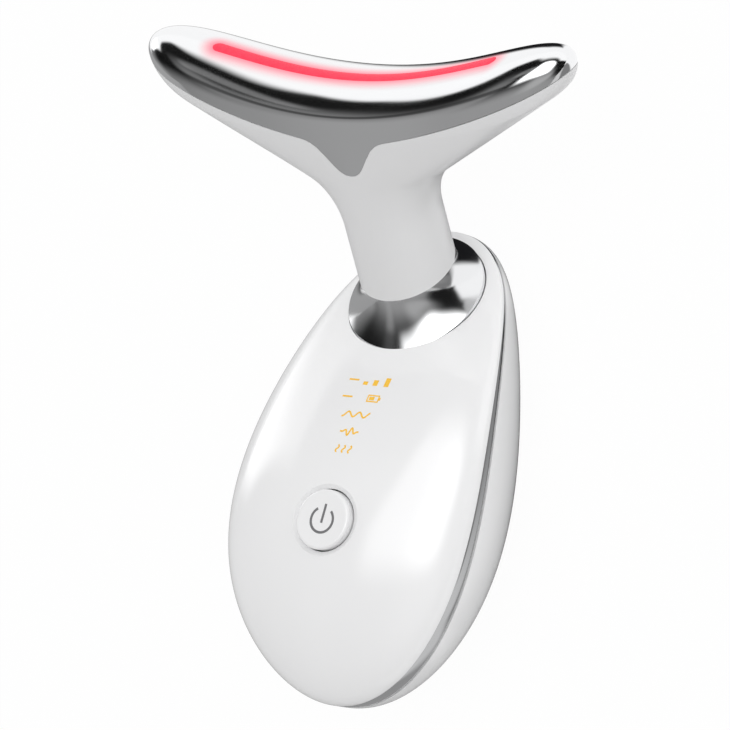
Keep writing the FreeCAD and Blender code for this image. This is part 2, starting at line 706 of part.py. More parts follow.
def board(name, place, width, length, holes):
    """A circuit board whose lower face is at place, with clearance holes for its screws."""
    body, sketch = body_sketch(name, place)
    rectangle(sketch, width, length)
    for x, y in holes:
        circle(sketch, "screw_radius + screw_gap", x, y)
    return pad(body, sketch, "board_thick")


def screws(name, places, up):
    """Pan-head screws with their heads on places; up is the way that they point."""
    items = []
    for number, place in enumerate(places, start=1):
        turned = place if up else place.multiply(Placement(Vector(), Rotation(Vector(1, 0, 0), 180)))
        head = cylinder("%s_head_%d" % (name, number), "screw_head_radius", "screw_head_height",
                        at(turned, z=-size("screw_head_height")))
        thread = cylinder("%s_thread_%d" % (name, number), "screw_radius - thread_gap",
                          "screw_length - tip_gap", turned)
        items.append(fuse("%s_%d" % (name, number), head, thread))
    return group(name, items)


def main_board():
    board("main_board", board_frame, "board_width", "2 * half_length - board_tail - board_neck", board_holes)
    screws("board_screws", [at(board_frame, x, y) for x, y in board_holes], True)
    half = size("chip_width") / 2
    box("control_chip", Vector(-half, -half, -size("chip_thick")), "chip_width", "chip_width", "chip_thick",
        at(board_frame, x=size("chip_offset")))
    coil_foot = Vector(-size("coil_offset"), tail_end + size("coil_tail"),
                       size("board_height") - size("coil_height"))
    cylinder("pulse_coil", "coil_radius", "coil_height", Placement(coil_foot, Rotation()))


def indicators():
    rows = 5
    low = row_y - size("cell_height") / 2 - size("mask_wall")
    half = size("cell_offset") + size("cell_width") / 2 + size("mask_wall")
    block = box("mask_block", Vector(-half, low, board_top), "2 * cell_offset + cell_width + 2 * mask_wall",
                "%d * row_step * half_length + cell_height + 2 * mask_wall" % (rows - 1), "%f" % DEEP)
    cavity = fuse("mask_space", form("mask_hollow", hollow_cap(size("mask_gap"))), mouth_form)
    cells, lamps = [], []
    for row in range(rows):
        for side in (-1, 1):
            tag = "%d_%s" % (row + 1, "left" if side < 0 else "right")
            middle = Vector(side * size("cell_offset"), row_y + row * row_gap, board_top)
            place = Placement(middle, Rotation())
            corner = Vector(-size("cell_width") / 2, -size("cell_height") / 2, -MARGIN)
            cells.append(box("cell_" + tag, corner, "cell_width", "cell_height", "%f" % DEEP, place))
            lamps.append(box("lamp_" + tag, Vector(-size("lamp_length") / 2, -size("lamp_width") / 2, 0),
                             "lamp_length", "lamp_width", "lamp_height", place))
    cut("light_mask", common("mask_blank", block, cavity), group("mask_cells", cells))
    group("indicator_leds", lamps)


def battery():
    inset = size("pad_inset")
    length = "2 * half_length - battery_tail - battery_neck"
    corner = Vector(-size("battery_width") / 2, tail_end + size("battery_tail"), size("floor_wall"))
    place = Placement(corner, Rotation())
    box("battery_pad", Vector(inset, inset, 0), "battery_width - 2 * pad_inset", length + " - 2 * pad_inset",
        "pad_thick", place)
    blank = box("battery_blank", Vector(0, 0, size("pad_thick")), "battery_width", length, "battery_thick",
                place)
    round_sides("battery", blank, size("battery_round"))


def charging():
    board("charge_board", charge_frame, "charge_width", "charge_length", charge_holes)
    heads = [at(charge_frame, x, y, size("board_thick")) for x, y in charge_holes]
    screws("charge_board_screws", heads, False)
    place = Placement(Vector(0, mouth_y, charge_top), Rotation())
    half, wall = size("socket_width") / 2, size("socket_wall")
    can = box("socket_can", Vector(-half, 0, 0), "socket_width", "socket_length", "socket_height", place)
    rounded = round_sides("socket_rounded", can, size("socket_round"))
    room = box("socket_room", Vector(-half + wall, -MARGIN, wall), "socket_width - 2 * socket_wall",
               "socket_length - socket_back + %f" % MARGIN, "socket_height - 2 * socket_wall", place)
    hollow = cut("socket_shell", rounded, room)
    middle = size("socket_height") / 2 - size("tongue_thick") / 2
    tongue_corner = Vector(-size("tongue_width") / 2, size("tongue_back"), middle)
    tongue = box("socket_tongue", tongue_corner, "tongue_width", "socket_length - tongue_back",
                 "tongue_thick", place)
    fuse("charge_socket", hollow, tongue)


# Neck

def flare():
    """The collar's flare: circles from the rim to the foot of the stem, with a hollow outline between."""
    steps = 9
    wires = []
    for share in even(steps):
        centre = collar_frame.Base + (foot_frame.Base - collar_frame.Base) * share
        lean = size("collar_tilt") + (size("stem_tilt") - size("collar_tilt")) * share
        narrow = size("stem_radius") - size("stem_seam")
        radius = narrow + (size("collar_radius") - narrow) * (1 - share) ** size("collar_flare")
        wires.append(Part.Wire(Part.makeCircle(radius, centre, leaning(lean))))
    return Part.makeLoft(wires, True)


def neck_collar():
    skirt_frame = at(collar_frame, z=-size("collar_skirt"))
    skirt_outer = cylinder("skirt_outer", "collar_radius", "collar_skirt + skirt_lap", skirt_frame)
    skirt_inner = cylinder("skirt_inner", "collar_radius - collar_skirt_wall", "collar_skirt", skirt_frame)
    skirt = cut("collar_skirt_ring", skirt_outer, skirt_inner)
    boss = cylinder("collar_boss_post", "tube_radius + washer_width", "collar_boss - stem_floor",
                    at(stem_frame, z=-size("collar_boss")))
    solid = fuse("collar_solid", form("flare_form", flare()), skirt, boss)
    bore = cylinder("collar_bore", "tube_radius + tube_gap", "%f" % (2 * DEEP), at(stem_frame, z=-DEEP))
    return cut("neck_collar", solid, bore)


def neck_bolt():
    reach = size("collar_boss") + size("washer_thick") + size("nut_thick")
    tube = ring("tube_pipe", at(stem_frame, z=-reach), "tube_radius", "tube_radius - tube_wall",
                "collar_boss + washer_thick + nut_thick + stem_floor")
    flange = ring("tube_flange_ring", at(stem_frame, z=size("stem_floor")), "tube_radius + tube_flange",
                  "tube_radius - tube_wall", "tube_flange_thick")
    fuse("neck_tube", tube, flange)
    ring("neck_washer", at(stem_frame, z=-size("collar_boss") - size("washer_thick")),
         "tube_radius + washer_width", "tube_radius + tube_gap", "washer_thick")
    nut = doc.addObject("Part::Prism", "nut_blank")
    nut.Polygon = 6
    bind(nut, Circumradius="nut_across / 2 / cos(30 deg)", Height="nut_thick")
    nut.Placement = at(stem_frame, z=-reach)
    nut_bore = cylinder("nut_bore", "tube_radius + tube_gap", "nut_thick", at(stem_frame, z=-reach))
    cut("neck_nut", nut, nut_bore)


# Head forms, in the stem's frame: X across, Y towards the back, Z along the stem

LEVELS = 41    # grid points from the stem's foot to the widest line
AROUND = 33    # grid points along the head, from one tip to the other


def underside(share, inset, foot):
    """Half width and height on the head's front outline: stem, flare, wing's underside and tip.

    The outline is a line, an arc, a line and an arc; share runs evenly along it from 0 to 1.
    """
    rise = radians(size("wing_rise"))
    turn = pi / 2 - rise
    big = size("flare_radius") + inset
    small = size("tip_radius") - inset
    start = size("stem_radius") - inset
    end = size("wing_reach") - inset
    x1 = start + big * (1 - cos(turn))
    z1 = size("stem_straight") + big * sin(turn)
    x2 = end - small * (1 - sin(rise))
    line = (x2 - x1) / cos(rise)
    z2 = z1 + line * sin(rise)
    lengths = [size("stem_straight") - foot, big * turn, line, small * turn]
    left = share * sum(lengths)
    if left <= lengths[0]:
        return start, foot + left
    left -= lengths[0]
    if left <= lengths[1]:
        a = left / big
        return start + big * (1 - cos(a)), size("stem_straight") + big * sin(a)
    left -= lengths[1]
    if left <= lengths[2]:
        return x1 + left * cos(rise), z1 + left * sin(rise)
    a = rise + (left - lengths[2]) / small
    return x2 + small * (sin(a) - sin(rise)), z2 + small * (cos(rise) - cos(a))


def ring_point(share, angle, inset, foot):
    """A point of the head's lower skin: rings that widen from the stem's circle to the head's outline."""
    width, level = underside(share, inset, foot)
    stem = size("stem_radius") - inset
    grown = (width - stem) / (size("wing_reach") - inset - stem)
    ease = sin(pi / 2 * grown)
    depth = stem + (size("head_half_depth") - size("stem_radius")) * ease
    spread = (width ** 2 - stem ** 2) / ((size("wing_reach") - inset) ** 2 - stem ** 2)
    side = cos(angle) ** 2
    full = size("head_full") * side + size("head_blunt") * side ** 2
    x = width * cos(angle)
    y = depth * sin(angle) * (1 + ease * full) + size("head_sweep") * spread * side
    z = level - size("head_bow") * spread * (1 - side)
    return Vector(x, y, z)


def head_solid(inset, foot):
    """The whole head drawn in by inset, from a flat foot at a height along the stem."""
    skins = []
    for side in (1, -1):
        rows = [[ring_point(share, side * pi * step / (AROUND - 1), inset, foot) for step in range(AROUND)]
                for share in even(LEVELS)]
        skins.append(surface(rows))
    rows = []
    for step in range(AROUND):
        angle = pi * step / (AROUND - 1)
        edge = ring_point(1.0, angle, inset, foot)
        crown = sin(angle) * (size("crown_height") - inset + size("crown_tips") * cos(angle) ** 2)
        if step in (0, AROUND - 1):
            rows.append([edge] * ROUND)
            continue
        middle = size("head_sweep") * cos(angle) ** 2
        turns = [pi * turn / (ROUND - 1) for turn in range(ROUND)]
        half = edge.y - middle
        rows.append([Vector(edge.x, middle + half * cos(a), edge.z + crown * sin(a)) for a in turns])
    crown_skin = surface(rows)
    floor = Part.Face(Part.Wire([skin.uIso(0).toShape() for skin in skins]))
    solid = closed([skin.toShape() for skin in skins] + [crown_skin.toShape(), floor])
    solid.Placement = stem_frame
    return solid


def widest_level():
    """Height of the head's widest line in its middle."""
    return underside(1.0, 0.0, 0.0)[1] - size("head_bow")


def plate_edge_at(x):
    """Height of the massage plate's lower edge, with the tongue in the middle."""
    rise = size("head_bow") + size("plate_drop") - size("plate_tip_drop")
    wing = widest_level() - size("plate_drop") + rise * abs(x / size("wing_reach")) ** size("edge_power")
    return wing - size("tongue_drop") * exp(-abs(x / size("tongue_half")) ** size("tongue_power"))


def plate_zone():
    """Everything over the massage plate's lower edge."""
    count = 61
    reach = size("wing_reach") + MARGIN
    places = [reach * (2 * share - 1) for share in even(count)]
    points = [Vector(x, 0, plate_edge_at(x)) for x in places]
    far = [Vector(reach, 0, TALL), Vector(-reach, 0, TALL)]
    solid = prism_of_curve(points, far, Vector(0, 2 * size("head_half_depth"), 0))
    solid.Placement = stem_frame
    return solid


def head():
    tall, deep, side = "%f" % TALL, "%f" % DEEP, "%f" % (2 * DEEP)
    outer_form = form("head_form", head_solid(0.0, -MARGIN))
    foot_cut = box("foot_cut", Vector(-DEEP, -DEEP, -DEEP), side, side, deep, foot_frame)
    outer = cut("head_outer", outer_form, foot_cut)
    zone = form("plate_zone", plate_zone())
    hollow = form("shell_hollow", head_solid(size("shell_wall"), size("stem_floor")))
    tube_hole = cylinder("tube_hole", "tube_radius + tube_gap", deep, at(stem_frame, z=-DEEP / 2))
    cut("head_shell", cut("head_lower", outer, zone), hollow, tube_hole)

    under = form("plate_hollow", head_solid(size("plate_wall"), size("stem_floor")))
    skin = cut("plate_skin", common("head_upper", outer, zone), under)
    slot = window_slot()
    cut("massage_plate", skin, slot)
    common("light_window", skin, slot)

    level = widest_level() + size("light_level")
    lamp_top = size("plate_wall") + size("light_gap")
    board_face = lamp_top + size("light_lamp")
    lamp_roof = form("lamp_roof", head_solid(lamp_top, size("stem_floor")))
    board_roof = form("board_roof", head_solid(board_face, size("stem_floor")))
    board_floor = form("board_floor", head_solid(board_face + size("light_board_thick"), size("stem_floor")))
    columns = []
    half = size("wing_reach") - size("window_end") - size("light_board_end")
    count = int(half / size("light_lamp_step"))
    for number in range(-count, count + 1):
        place = at(stem_frame, number * size("light_lamp_step"))
        columns.append(box("light_lamp_%d" % (number + count + 1),
                           Vector(-size("light_lamp_length") / 2, -size("light_lamp_width") / 2, level),
                           "light_lamp_length", "light_lamp_width", tall, place))
    cut("light_leds", common("lamp_columns", group("lamp_column_group", columns), lamp_roof), board_roof)
    strip = box("light_board_block",
                Vector(-half, -size("light_board_width") / 2, level),
                "2 * (wing_reach - window_end - light_board_end)", "light_board_width", tall, stem_frame)
    cut("light_board", common("light_board_blank", strip, board_roof), board_floor)

    film_floor = form("film_floor", head_solid(size("plate_wall") + size("film_thick"), size("stem_floor")))
    strips = []
    for number, start in enumerate((size("film_start"), -size("film_start") - size("film_width")), start=1):
        corner = Vector(size("film_end") - size("wing_reach"), start, level)
        strips.append(box("film_strip_%d" % number, corner, "2 * (wing_reach - film_end)", "film_width", tall,
                          stem_frame))
    cut("heater_film", common("film_blank", group("film_strips", strips), under), film_floor)


def window_slot():
    """The straight slot with round ends that the light window fills."""
    straight = size("wing_reach") - size("window_end") - size("window_width") / 2
    block = box("slot_block", Vector(-straight, -size("window_width") / 2, widest_level()),
                "2 * (wing_reach - window_end) - window_width", "window_width", "%f" % TALL, stem_frame)
    ends = [cylinder("slot_end_" + name, "window_width / 2", "%f" % TALL,
                     at(stem_frame, x, 0, widest_level()))
            for name, x in (("left", -straight), ("right", straight))]
    return fuse("window_slot", block, *ends)


# Vibration motor, in the stem

def motor():
    foot = size("motor_place")
    top = foot + size("motor_length")
    body, sketch = body_sketch("motor_blank", at(stem_frame, z=foot))
    circle(sketch, "motor_radius")
    pad(body, sketch, "motor_length")
    bore = cylinder("motor_bore", "shaft_radius + shaft_gap", "%f" % DEEP,
                    at(stem_frame, z=top - size("shaft_seat") - size("shaft_gap")))
    cut("motor_can", body, bore)
    boot_foot = foot + (size("motor_length") - size("boot_length")) / 2
    sleeve = ring("boot_sleeve", at(stem_frame, z=boot_foot), "stem_radius - shell_wall - boot_gap",
                  "motor_radius + boot_gap", "boot_length")
    half = size("lead_radius") + size("lead_gap")
    notch = box("boot_notch", Vector(-half, size("lead_offset") - half, -MARGIN),
                "2 * (lead_radius + lead_gap)", "%f" % DEEP, "boot_length + %f" % (2 * MARGIN),
                at(stem_frame, z=boot_foot))
    cut("motor_boot", sleeve, notch)
    cylinder("motor_shaft", "shaft_radius", "shaft_seat + shaft_rise",
             at(stem_frame, z=top - size("shaft_seat")))
    weight_foot = top + size("shaft_rise") - size("weight_length")
    place = at(stem_frame, z=weight_foot)
    disc = cylinder("weight_disc", "weight_radius", "weight_length", place)
    side = box("weight_side", Vector(-DEEP, 0, 0), "%f" % (2 * DEEP), "%f" % DEEP, "weight_length", place)
    half_disc = common("weight_half", disc, side)
    hub = cylinder("weight_hub_disc", "weight_hub", "weight_length", place)
    shaft_hole = cylinder("weight_bore", "shaft_radius", "weight_length", place)
    cut("eccentric_weight", fuse("weight_solid", half_disc, hub), shaft_hole)


# Lead from the head to the main board

BEND_SHARE = 0.45    # the part of a run that one bend may take up


def lead_route():
    """Corners of the lead: down the stem behind the motor, round the nut and up to the main board."""
    back = size("lead_offset")
    nut_foot = -size("collar_boss") - size("washer_thick") - size("nut_thick")
    start = stem_frame.multVec(Vector(0, back, widest_level() - size("lead_start")))
    turn = stem_frame.multVec(Vector(0, back, nut_foot - size("lead_below")))
    rise = Vector(0, battery_end + size("lead_rise_y"), size("lead_rise_z"))
    edge = Vector(0, battery_end + size("lead_edge_y"), size("board_height") - size("lead_edge_z"))
    end = Vector(0, board_y + board_half - size("lead_end_y"), size("board_height") - size("lead_end_z"))
    return [start, turn, rise, edge, end]


def rounded_path(points):
    """Straight runs joined by tangent arcs, each as large as its two runs allow."""
    edges = []
    here = points[0]
    for before, corner, after in zip(points, points[1:], points[2:]):
        back, on = (before - corner), (after - corner)
        turn = pi - back.getAngle(on)
        tangent = BEND_SHARE * min(back.Length, on.Length)
        radius = tangent / (sin(turn / 2) / cos(turn / 2))
        back.normalize()
        on.normalize()
        first, last = corner + back * tangent, corner + on * tangent
        middle_way = (back + on).normalize()
        centre = corner + middle_way * (radius / cos(turn / 2))
        edges.append(Part.LineSegment(here, first).toShape())
        edges.append(Part.Arc(first, centre - middle_way * radius, last).toShape())
        here = last
    edges.append(Part.LineSegment(here, points[-1]).toShape())
    return Part.Wire(edges)


def head_lead():
    route = rounded_path(lead_route())
    start = lead_route()[0]
    section = Part.Wire(Part.makeCircle(size("lead_radius"), start, lead_route()[1] - start))
    form("head_lead", route.makePipeShell([section], True, False))


NODES = ["front_cover", "trim_ring", "rear_cover", "power_button", "switch_body", "switch_plunger",
         "main_board", "board_screws", "indicator_leds", "light_mask", "control_chip", "pulse_coil",
         "battery", "battery_pad", "charge_board", "charge_board_screws", "charge_socket",
         "neck_collar", "neck_tube", "neck_washer", "neck_nut", "head_shell", "massage_plate",
         "light_window", "light_board", "light_leds", "heater_film",
         "motor_can", "motor_boot", "motor_shaft", "eccentric_weight", "head_lead"]

front_cover()
trim_ring()
rear_cover()
power_button()
push_switch()
main_board()
indicators()
battery()
charging()
neck_collar()
neck_bolt()
head()
motor()
head_lead()
doc.recompute()

failed = [item.Label for item in doc.Objects if set(item.State) & {"Invalid", "Error"}]
for name in NODES:
    shape = doc.getObject(name).Shape
    if shape.isNull() or not shape.isValid() or not shape.Solids:
        failed.append(name)
if failed:
    raise RuntimeError("these did not build: " + ", ".join(failed))

os.makedirs("parts", exist_ok=True)
for name in NODES:
    node = doc.getObject(name)
    node.Shape.exportStep("parts/%s.step" % node.Label)
    print("%-20s %2d solids %9.1f mm3" % (node.Label, len(node.Shape.Solids), node.Shape.Volume))
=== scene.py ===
"""Looks of a face and neck massager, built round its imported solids."""

import bpy
import numpy as np
from mathutils import Matrix


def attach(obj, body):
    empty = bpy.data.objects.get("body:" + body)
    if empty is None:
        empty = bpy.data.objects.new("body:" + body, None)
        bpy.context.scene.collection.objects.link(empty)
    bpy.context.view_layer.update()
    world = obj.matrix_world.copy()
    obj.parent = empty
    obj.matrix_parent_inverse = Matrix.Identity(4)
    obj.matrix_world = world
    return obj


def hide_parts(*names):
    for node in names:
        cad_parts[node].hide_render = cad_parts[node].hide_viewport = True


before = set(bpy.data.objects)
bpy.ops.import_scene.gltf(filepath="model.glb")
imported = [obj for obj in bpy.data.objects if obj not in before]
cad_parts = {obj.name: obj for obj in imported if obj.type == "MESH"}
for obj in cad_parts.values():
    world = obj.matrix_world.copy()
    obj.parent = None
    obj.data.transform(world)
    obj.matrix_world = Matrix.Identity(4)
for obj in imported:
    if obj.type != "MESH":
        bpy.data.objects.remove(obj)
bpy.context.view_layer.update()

MM = 0.001

# Sizes of the handle, in millimetres: X across, Y from the tail to the head, Z up
HALF_LENGTH = 47.7
HALF_WIDTH = 27.65
MIDDLE = -4.4
OUTLINE_WAVES = (0.053, 0.038, -0.041)
SEAM_GAP = 0.12
FRONT_WALL = 1.3
REAR_WALL = 1.6
COVER_GRID = (261, 141)

# The seam's level, slope, sag and skew; the bright band under it, whose profile is an arc in degrees
SEAM_LEVEL = 26.15
SEAM_SLOPE = 9.98
SEAM_SAG = 10.7
SEAM_SKEW = 0.15
BAND_WIDTH = 2.65
BAND_TAPER = 1.75
TRIM_WIDTH = 1.6
TRIM_SWELL = 0.5
TRIM_ARC = (78, -62)

# Rise of the front cover over the seam and depth of the rear cover under the band
DOME_RISE = 8.1
DOME_TAPER = 5.1
DOME_ROUND = 2.0
BOWL_DEPTH = 19.9
BOWL_WAVES = (0.32, -0.27)
BOWL_FULL = 0.17

# Power button, with a hollow top inside its rounded edge, in a dish of the front cover
BUTTON_PLACE = -0.277
BUTTON_Y = MIDDLE + BUTTON_PLACE * HALF_LENGTH
BUTTON_RADIUS = 5.85
BUTTON_EDGE = 0.6
BUTTON_TOP = BUTTON_RADIUS - BUTTON_EDGE
BUTTON_HOLLOW = 0.14
BUTTON_RISE = 0.75
BUTTON_FOOT = 3.0
BUTTON_LIP = 0.8
HOLE_RADIUS = 6.1
DISH_WIDTH = 1.5
DISH_DEPTH = 1.0
DISH_WALL = 0.5
HOLE_WALL = 2.5

# Signs: a flat line's thickness and its lift off the surface, the on-off sign, and the rows of lit signs
# by their place along the handle
SIGN_THICK = 0.05
CAP_SIGN_LIFT = 0.025
CAP_SIGN_RADIUS = 2.45
CAP_SIGN_LINE = 0.5
CAP_SIGN_ARC = (123, 407)
LIT_SIGN_LIFT = 0.02
LIT_SIGN_LINE = 0.34
BATTERY_LINE = 0.26
FIRST_ROW = 0.0165
ROW_STEP = 0.0734

# Charging slot in the tail: half width, half height, corner radius and height over the table
SLOT_HALF_WIDTH = 4.775
SLOT_HALF_HEIGHT = 1.9
SLOT_ROUND = 1.5
SLOT_LEVEL = 15.4

# Neck collar and stem: centres, and lean of their faces towards the head in degrees
COLLAR_CENTRE = np.array([0.0, 29.45, 16.9])
COLLAR_LEAN = 29.0
COLLAR_RADIUS = 14.15
COLLAR_NECK = 9.6
COLLAR_SKIRT = 3.0
COLLAR_POWER = 2.2
COLLAR_WALL = 1.0
COLLAR_GAP = 0.15
FOOT = np.array([0.0, 34.15, 21.3])
FOOT_LEAN = 36.5
STEM_LEAN = 49.1

# Head: its outline runs up the stem, round a flare, along a wing and round the tip
STEM_RADIUS = 9.75
STEM_STRAIGHT = 11.8
FLARE_RADIUS = 13.75
WING_RISE = np.radians(31.5)
WING_REACH = 47.3
TIP_RADIUS = 6.5
HEAD_HALF_DEPTH = 10.25
HEAD_FULL = 0.27
HEAD_BLUNT = 0.3
HEAD_SWEEP = 1.6
HEAD_BOW = 8.85
CROWN_HEIGHT = 4.3
CROWN_TIPS = 7.4
SHELL_WALL = 1.2
SHELL_ROWS = 121
FOOT_GAP = 0.02

# Massage plate: its lower edge, with a tongue in the middle, and the light strip on its middle line,
# whose glow is painted into the plate's colour and emission over the face, above these heights along the stem
PLATE_DROP = 5.0
PLATE_TIP_DROP = 0.95
PLATE_EDGE_POWER = 1.5
PLATE_GAP = 0.1
PLATE_WALL = 0.8
TONGUE_DROP = 6.6
TONGUE_HALF = 5.0
TONGUE_POWER = 2.6
WINDOW_HALF = 31.7
WINDOW_WIDTH = 2.6
STRIP_LIFT = 0.04
STRIP_CROWN = 0.16
STRIP_WALL = 0.4
PAINTED_GLOW_REACH = 3.4
PAINTED_GLOW_START = 0.8
PAINTED_GLOW_LEVELS = (36, 40)

# Heights along the stem of points well inside the shell and the plate, and above the table inside the bowl
INSIDE_SHELL = 25
INSIDE_PLATE = 36
INSIDE_BOWL = 18


def leaning(degrees):
    """The direction that leans by an angle from straight up towards the head."""
    angle = np.radians(degrees)
    return np.array([0.0, np.sin(angle), np.cos(angle)])


STEM_AXIS = leaning(STEM_LEAN)
STEM_BACK = np.array([0.0, STEM_AXIS[2], -STEM_AXIS[1]])


# Meshes

def stacked(x, y, z):
    """Coordinates of a whole grid as one array of points."""
    return np.stack(np.broadcast_arrays(x, y, z), -1).astype(float)


def quads(rows, columns, wrap_rows=False, wrap_columns=False):
    """Corner numbers of the squares of a grid stored row by row, joined up where it wraps."""
    row = np.arange(rows if wrap_rows else rows - 1)
    column = np.arange(columns if wrap_columns else columns - 1)
    row, column = np.meshgrid(row, column, indexing="ij")
    below, beside = (row + 1) % rows, (column + 1) % columns
    corners = [row * columns + column, below * columns + column,
               below * columns + beside, row * columns + beside]
    return np.stack(corners, -1).reshape(-1, 4)


def welded(points, faces):
    """Points that fall together become one; a square with two such corners becomes a triangle a, b, c, c.

    Adding zero turns minus zero into zero, so that both count as one place.
    """
    place = np.round(points, 4) + 0.0
    _, first, number = np.unique(place, axis=0, return_index=True, return_inverse=True)
    faces = number.reshape(-1)[faces]
    same = faces == np.roll(faces, -1, axis=1)
    turn = np.where(same.any(1), np.argmax(same, 1) - 2, 0)
    faces = np.take_along_axis(faces, (np.arange(4) + turn[:, None]) % 4, 1)
    a, b, c, d = faces.T
    sound = (a != b) & (b != c) & (a != c) & (b != d) & (a != d)
    return points[first], faces[sound]


def face_turns(points, faces):
    """Normal of each face, as long as twice its area."""
    a, b, c, d = (points[faces[:, corner]] for corner in range(4))
    return np.cross(c - a, d - b)


def turned_from(points, faces, inside):
    """The faces, turned so that most of them look away from a point inside."""
    away = points[faces].mean(1) - np.asarray(inside)
    if (face_turns(points, faces) * away).sum() < 0:
        return faces[:, [1, 0, 3, 2]]
    return faces


def walled(points, faces, depth):
    """A wall: the skin, its copy moved inwards along the normals, and a rim along every open edge."""
    turns = face_turns(points, faces)
    normal = np.zeros_like(points)
    for corner in range(4):
        np.add.at(normal, faces[:, corner], turns)
    normal /= np.maximum(np.linalg.norm(normal, axis=1, keepdims=True), 1e-12)
    count = len(points)
    start = faces.ravel()
    end = np.roll(faces, -1, axis=1).ravel()
    start, end = start[start != end], end[start != end]
    is_open = ~np.isin(start * count + end, end * count + start)
    start, end = start[is_open], end[is_open]
    rim = np.stack([end, start, start + count, end + count], 1)
    points = np.concatenate([points, points - depth * normal])
    return points, np.concatenate([faces, faces[:, [1, 0, 3, 2]] + count, rim])


def joined(*parts):
    """Several meshes as one."""
    points = np.concatenate([part[0] for part in parts])
    starts = np.cumsum([0] + [len(part[0]) for part in parts[:-1]])
    return points, np.concatenate([part[1] + start for part, start in zip(parts, starts)])


def trimmed(surface, rows, columns, keep):
    """A grid of surface(a, b) over the unit square, without the part where keep(points) is below zero.

    Grid points just past the edge slide onto it down the slope of keep, so the edge comes out clean.
    """
    a, b = np.meshgrid(np.linspace(0, 1, rows), np.linspace(0, 1, columns), indexing="ij")
    step_a, step_b = 1 / (rows - 1), 1 / (columns - 1)
    outside = keep(surface(a, b)) < 0
    kept = np.pad(~outside, 1)
    near = np.zeros_like(outside)
    for down in range(3):
        for across in range(3):
            near |= kept[down:down + rows, across:across + columns]
    near &= outside
    probe = 0.02
    longest = 0.5
    for _ in range(15):
        level = keep(surface(a, b))
        slope_a = (keep(surface(a + probe * step_a, b)) - level) / probe
        slope_b = (keep(surface(a, b + probe * step_b)) - level) / probe
        pull = np.where(near, level / np.maximum(slope_a ** 2 + slope_b ** 2, 1e-9), 0)
        a = a - np.clip(pull * slope_a, -longest, longest) * step_a
        b = b - np.clip(pull * slope_b, -longest, longest) * step_b
    faces = quads(rows, columns)
    lost = (outside & ~near).ravel()[faces].any(1) | near.ravel()[faces].all(1)
    faces = faces[~lost]
    used, number = np.unique(faces, return_inverse=True)
    return surface(a, b).reshape(-1, 3)[used], number.reshape(-1, 4)


def piece(name, shape, finish, body="handle", node=None, sharp=40):
    """A closed mesh from points in millimetres, riding on a body and standing for a node."""
    points, faces = welded(*shape)
    a, b, c, d = (points[faces[:, corner]] for corner in range(4))
    volume = (a * np.cross(b, c)).sum() + (a * np.cross(c, d)).sum()
    if volume < 0:
        faces = faces[:, [1, 0, 3, 2]]
    used = np.ones(faces.shape, bool)
    used[:, 3] = faces[:, 3] != faces[:, 2]
    corners = used.sum(1)
    mesh = bpy.data.meshes.new(name)
    mesh.vertices.add(len(points))
    mesh.loops.add(int(corners.sum()))
    mesh.polygons.add(len(faces))
    mesh.vertices.foreach_set("co", (points * MM).astype(np.float32).ravel())
    mesh.loops.foreach_set("vertex_index", faces[used].astype(np.int32))
    mesh.polygons.foreach_set("loop_start", (np.cumsum(corners) - corners).astype(np.int32))
    mesh.polygons.foreach_set("use_smooth", np.ones(len(faces), bool))
    mesh.update(calc_edges=True)
    mesh.validate()
    mesh.set_sharp_from_angle(angle=np.radians(sharp))
    mesh.materials.append(finish)
    made = bpy.data.objects.new(name, mesh)
    bpy.context.scene.collection.objects.link(made)
    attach(made, body)
    if node:
        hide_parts(node)


# Shader values

class Value:
    """A shader socket that takes part in sums: each operator adds a Math node."""

    def __init__(self, tree, socket):
        self.tree = tree
        self.socket = socket

    def __getitem__(self, name):
        return Value(self.tree, self.socket.node.outputs[name])

    def math(self, operation, *others):
        """A Math node on this value and others."""
        inputs = dict(enumerate((self,) + others))
        return self.tree.add("ShaderNodeMath", {"operation": operation}, inputs)

    def __add__(self, other):
        return self.math("ADD", other)

    __radd__ = __add__

    def __mul__(self, other):
        return self.math("MULTIPLY", other)

    __rmul__ = __mul__

    def __sub__(self, other):
        return self.math("SUBTRACT", other)

    def __rsub__(self, other):
        return self.tree.add("ShaderNodeMath", {"operation": "SUBTRACT"}, {0: other, 1: self})

    def __pow__(self, other):
        return self.math("POWER", other)

    def __abs__(self):
        return self.math("ABSOLUTE")

    def at_least(self, other):
        return self.math("MAXIMUM", other)

    def at_most(self, other):
        return self.math("MINIMUM", other)

    def fade(self, low, high):
        """0 below low, 1 above high, and a smooth step between."""
        inputs = {0: self, 1: low, 2: high, 3: 0.0, 4: 1.0}
        return self.tree.add("ShaderNodeMapRange", {"interpolation_type": "SMOOTHSTEP"}, inputs)


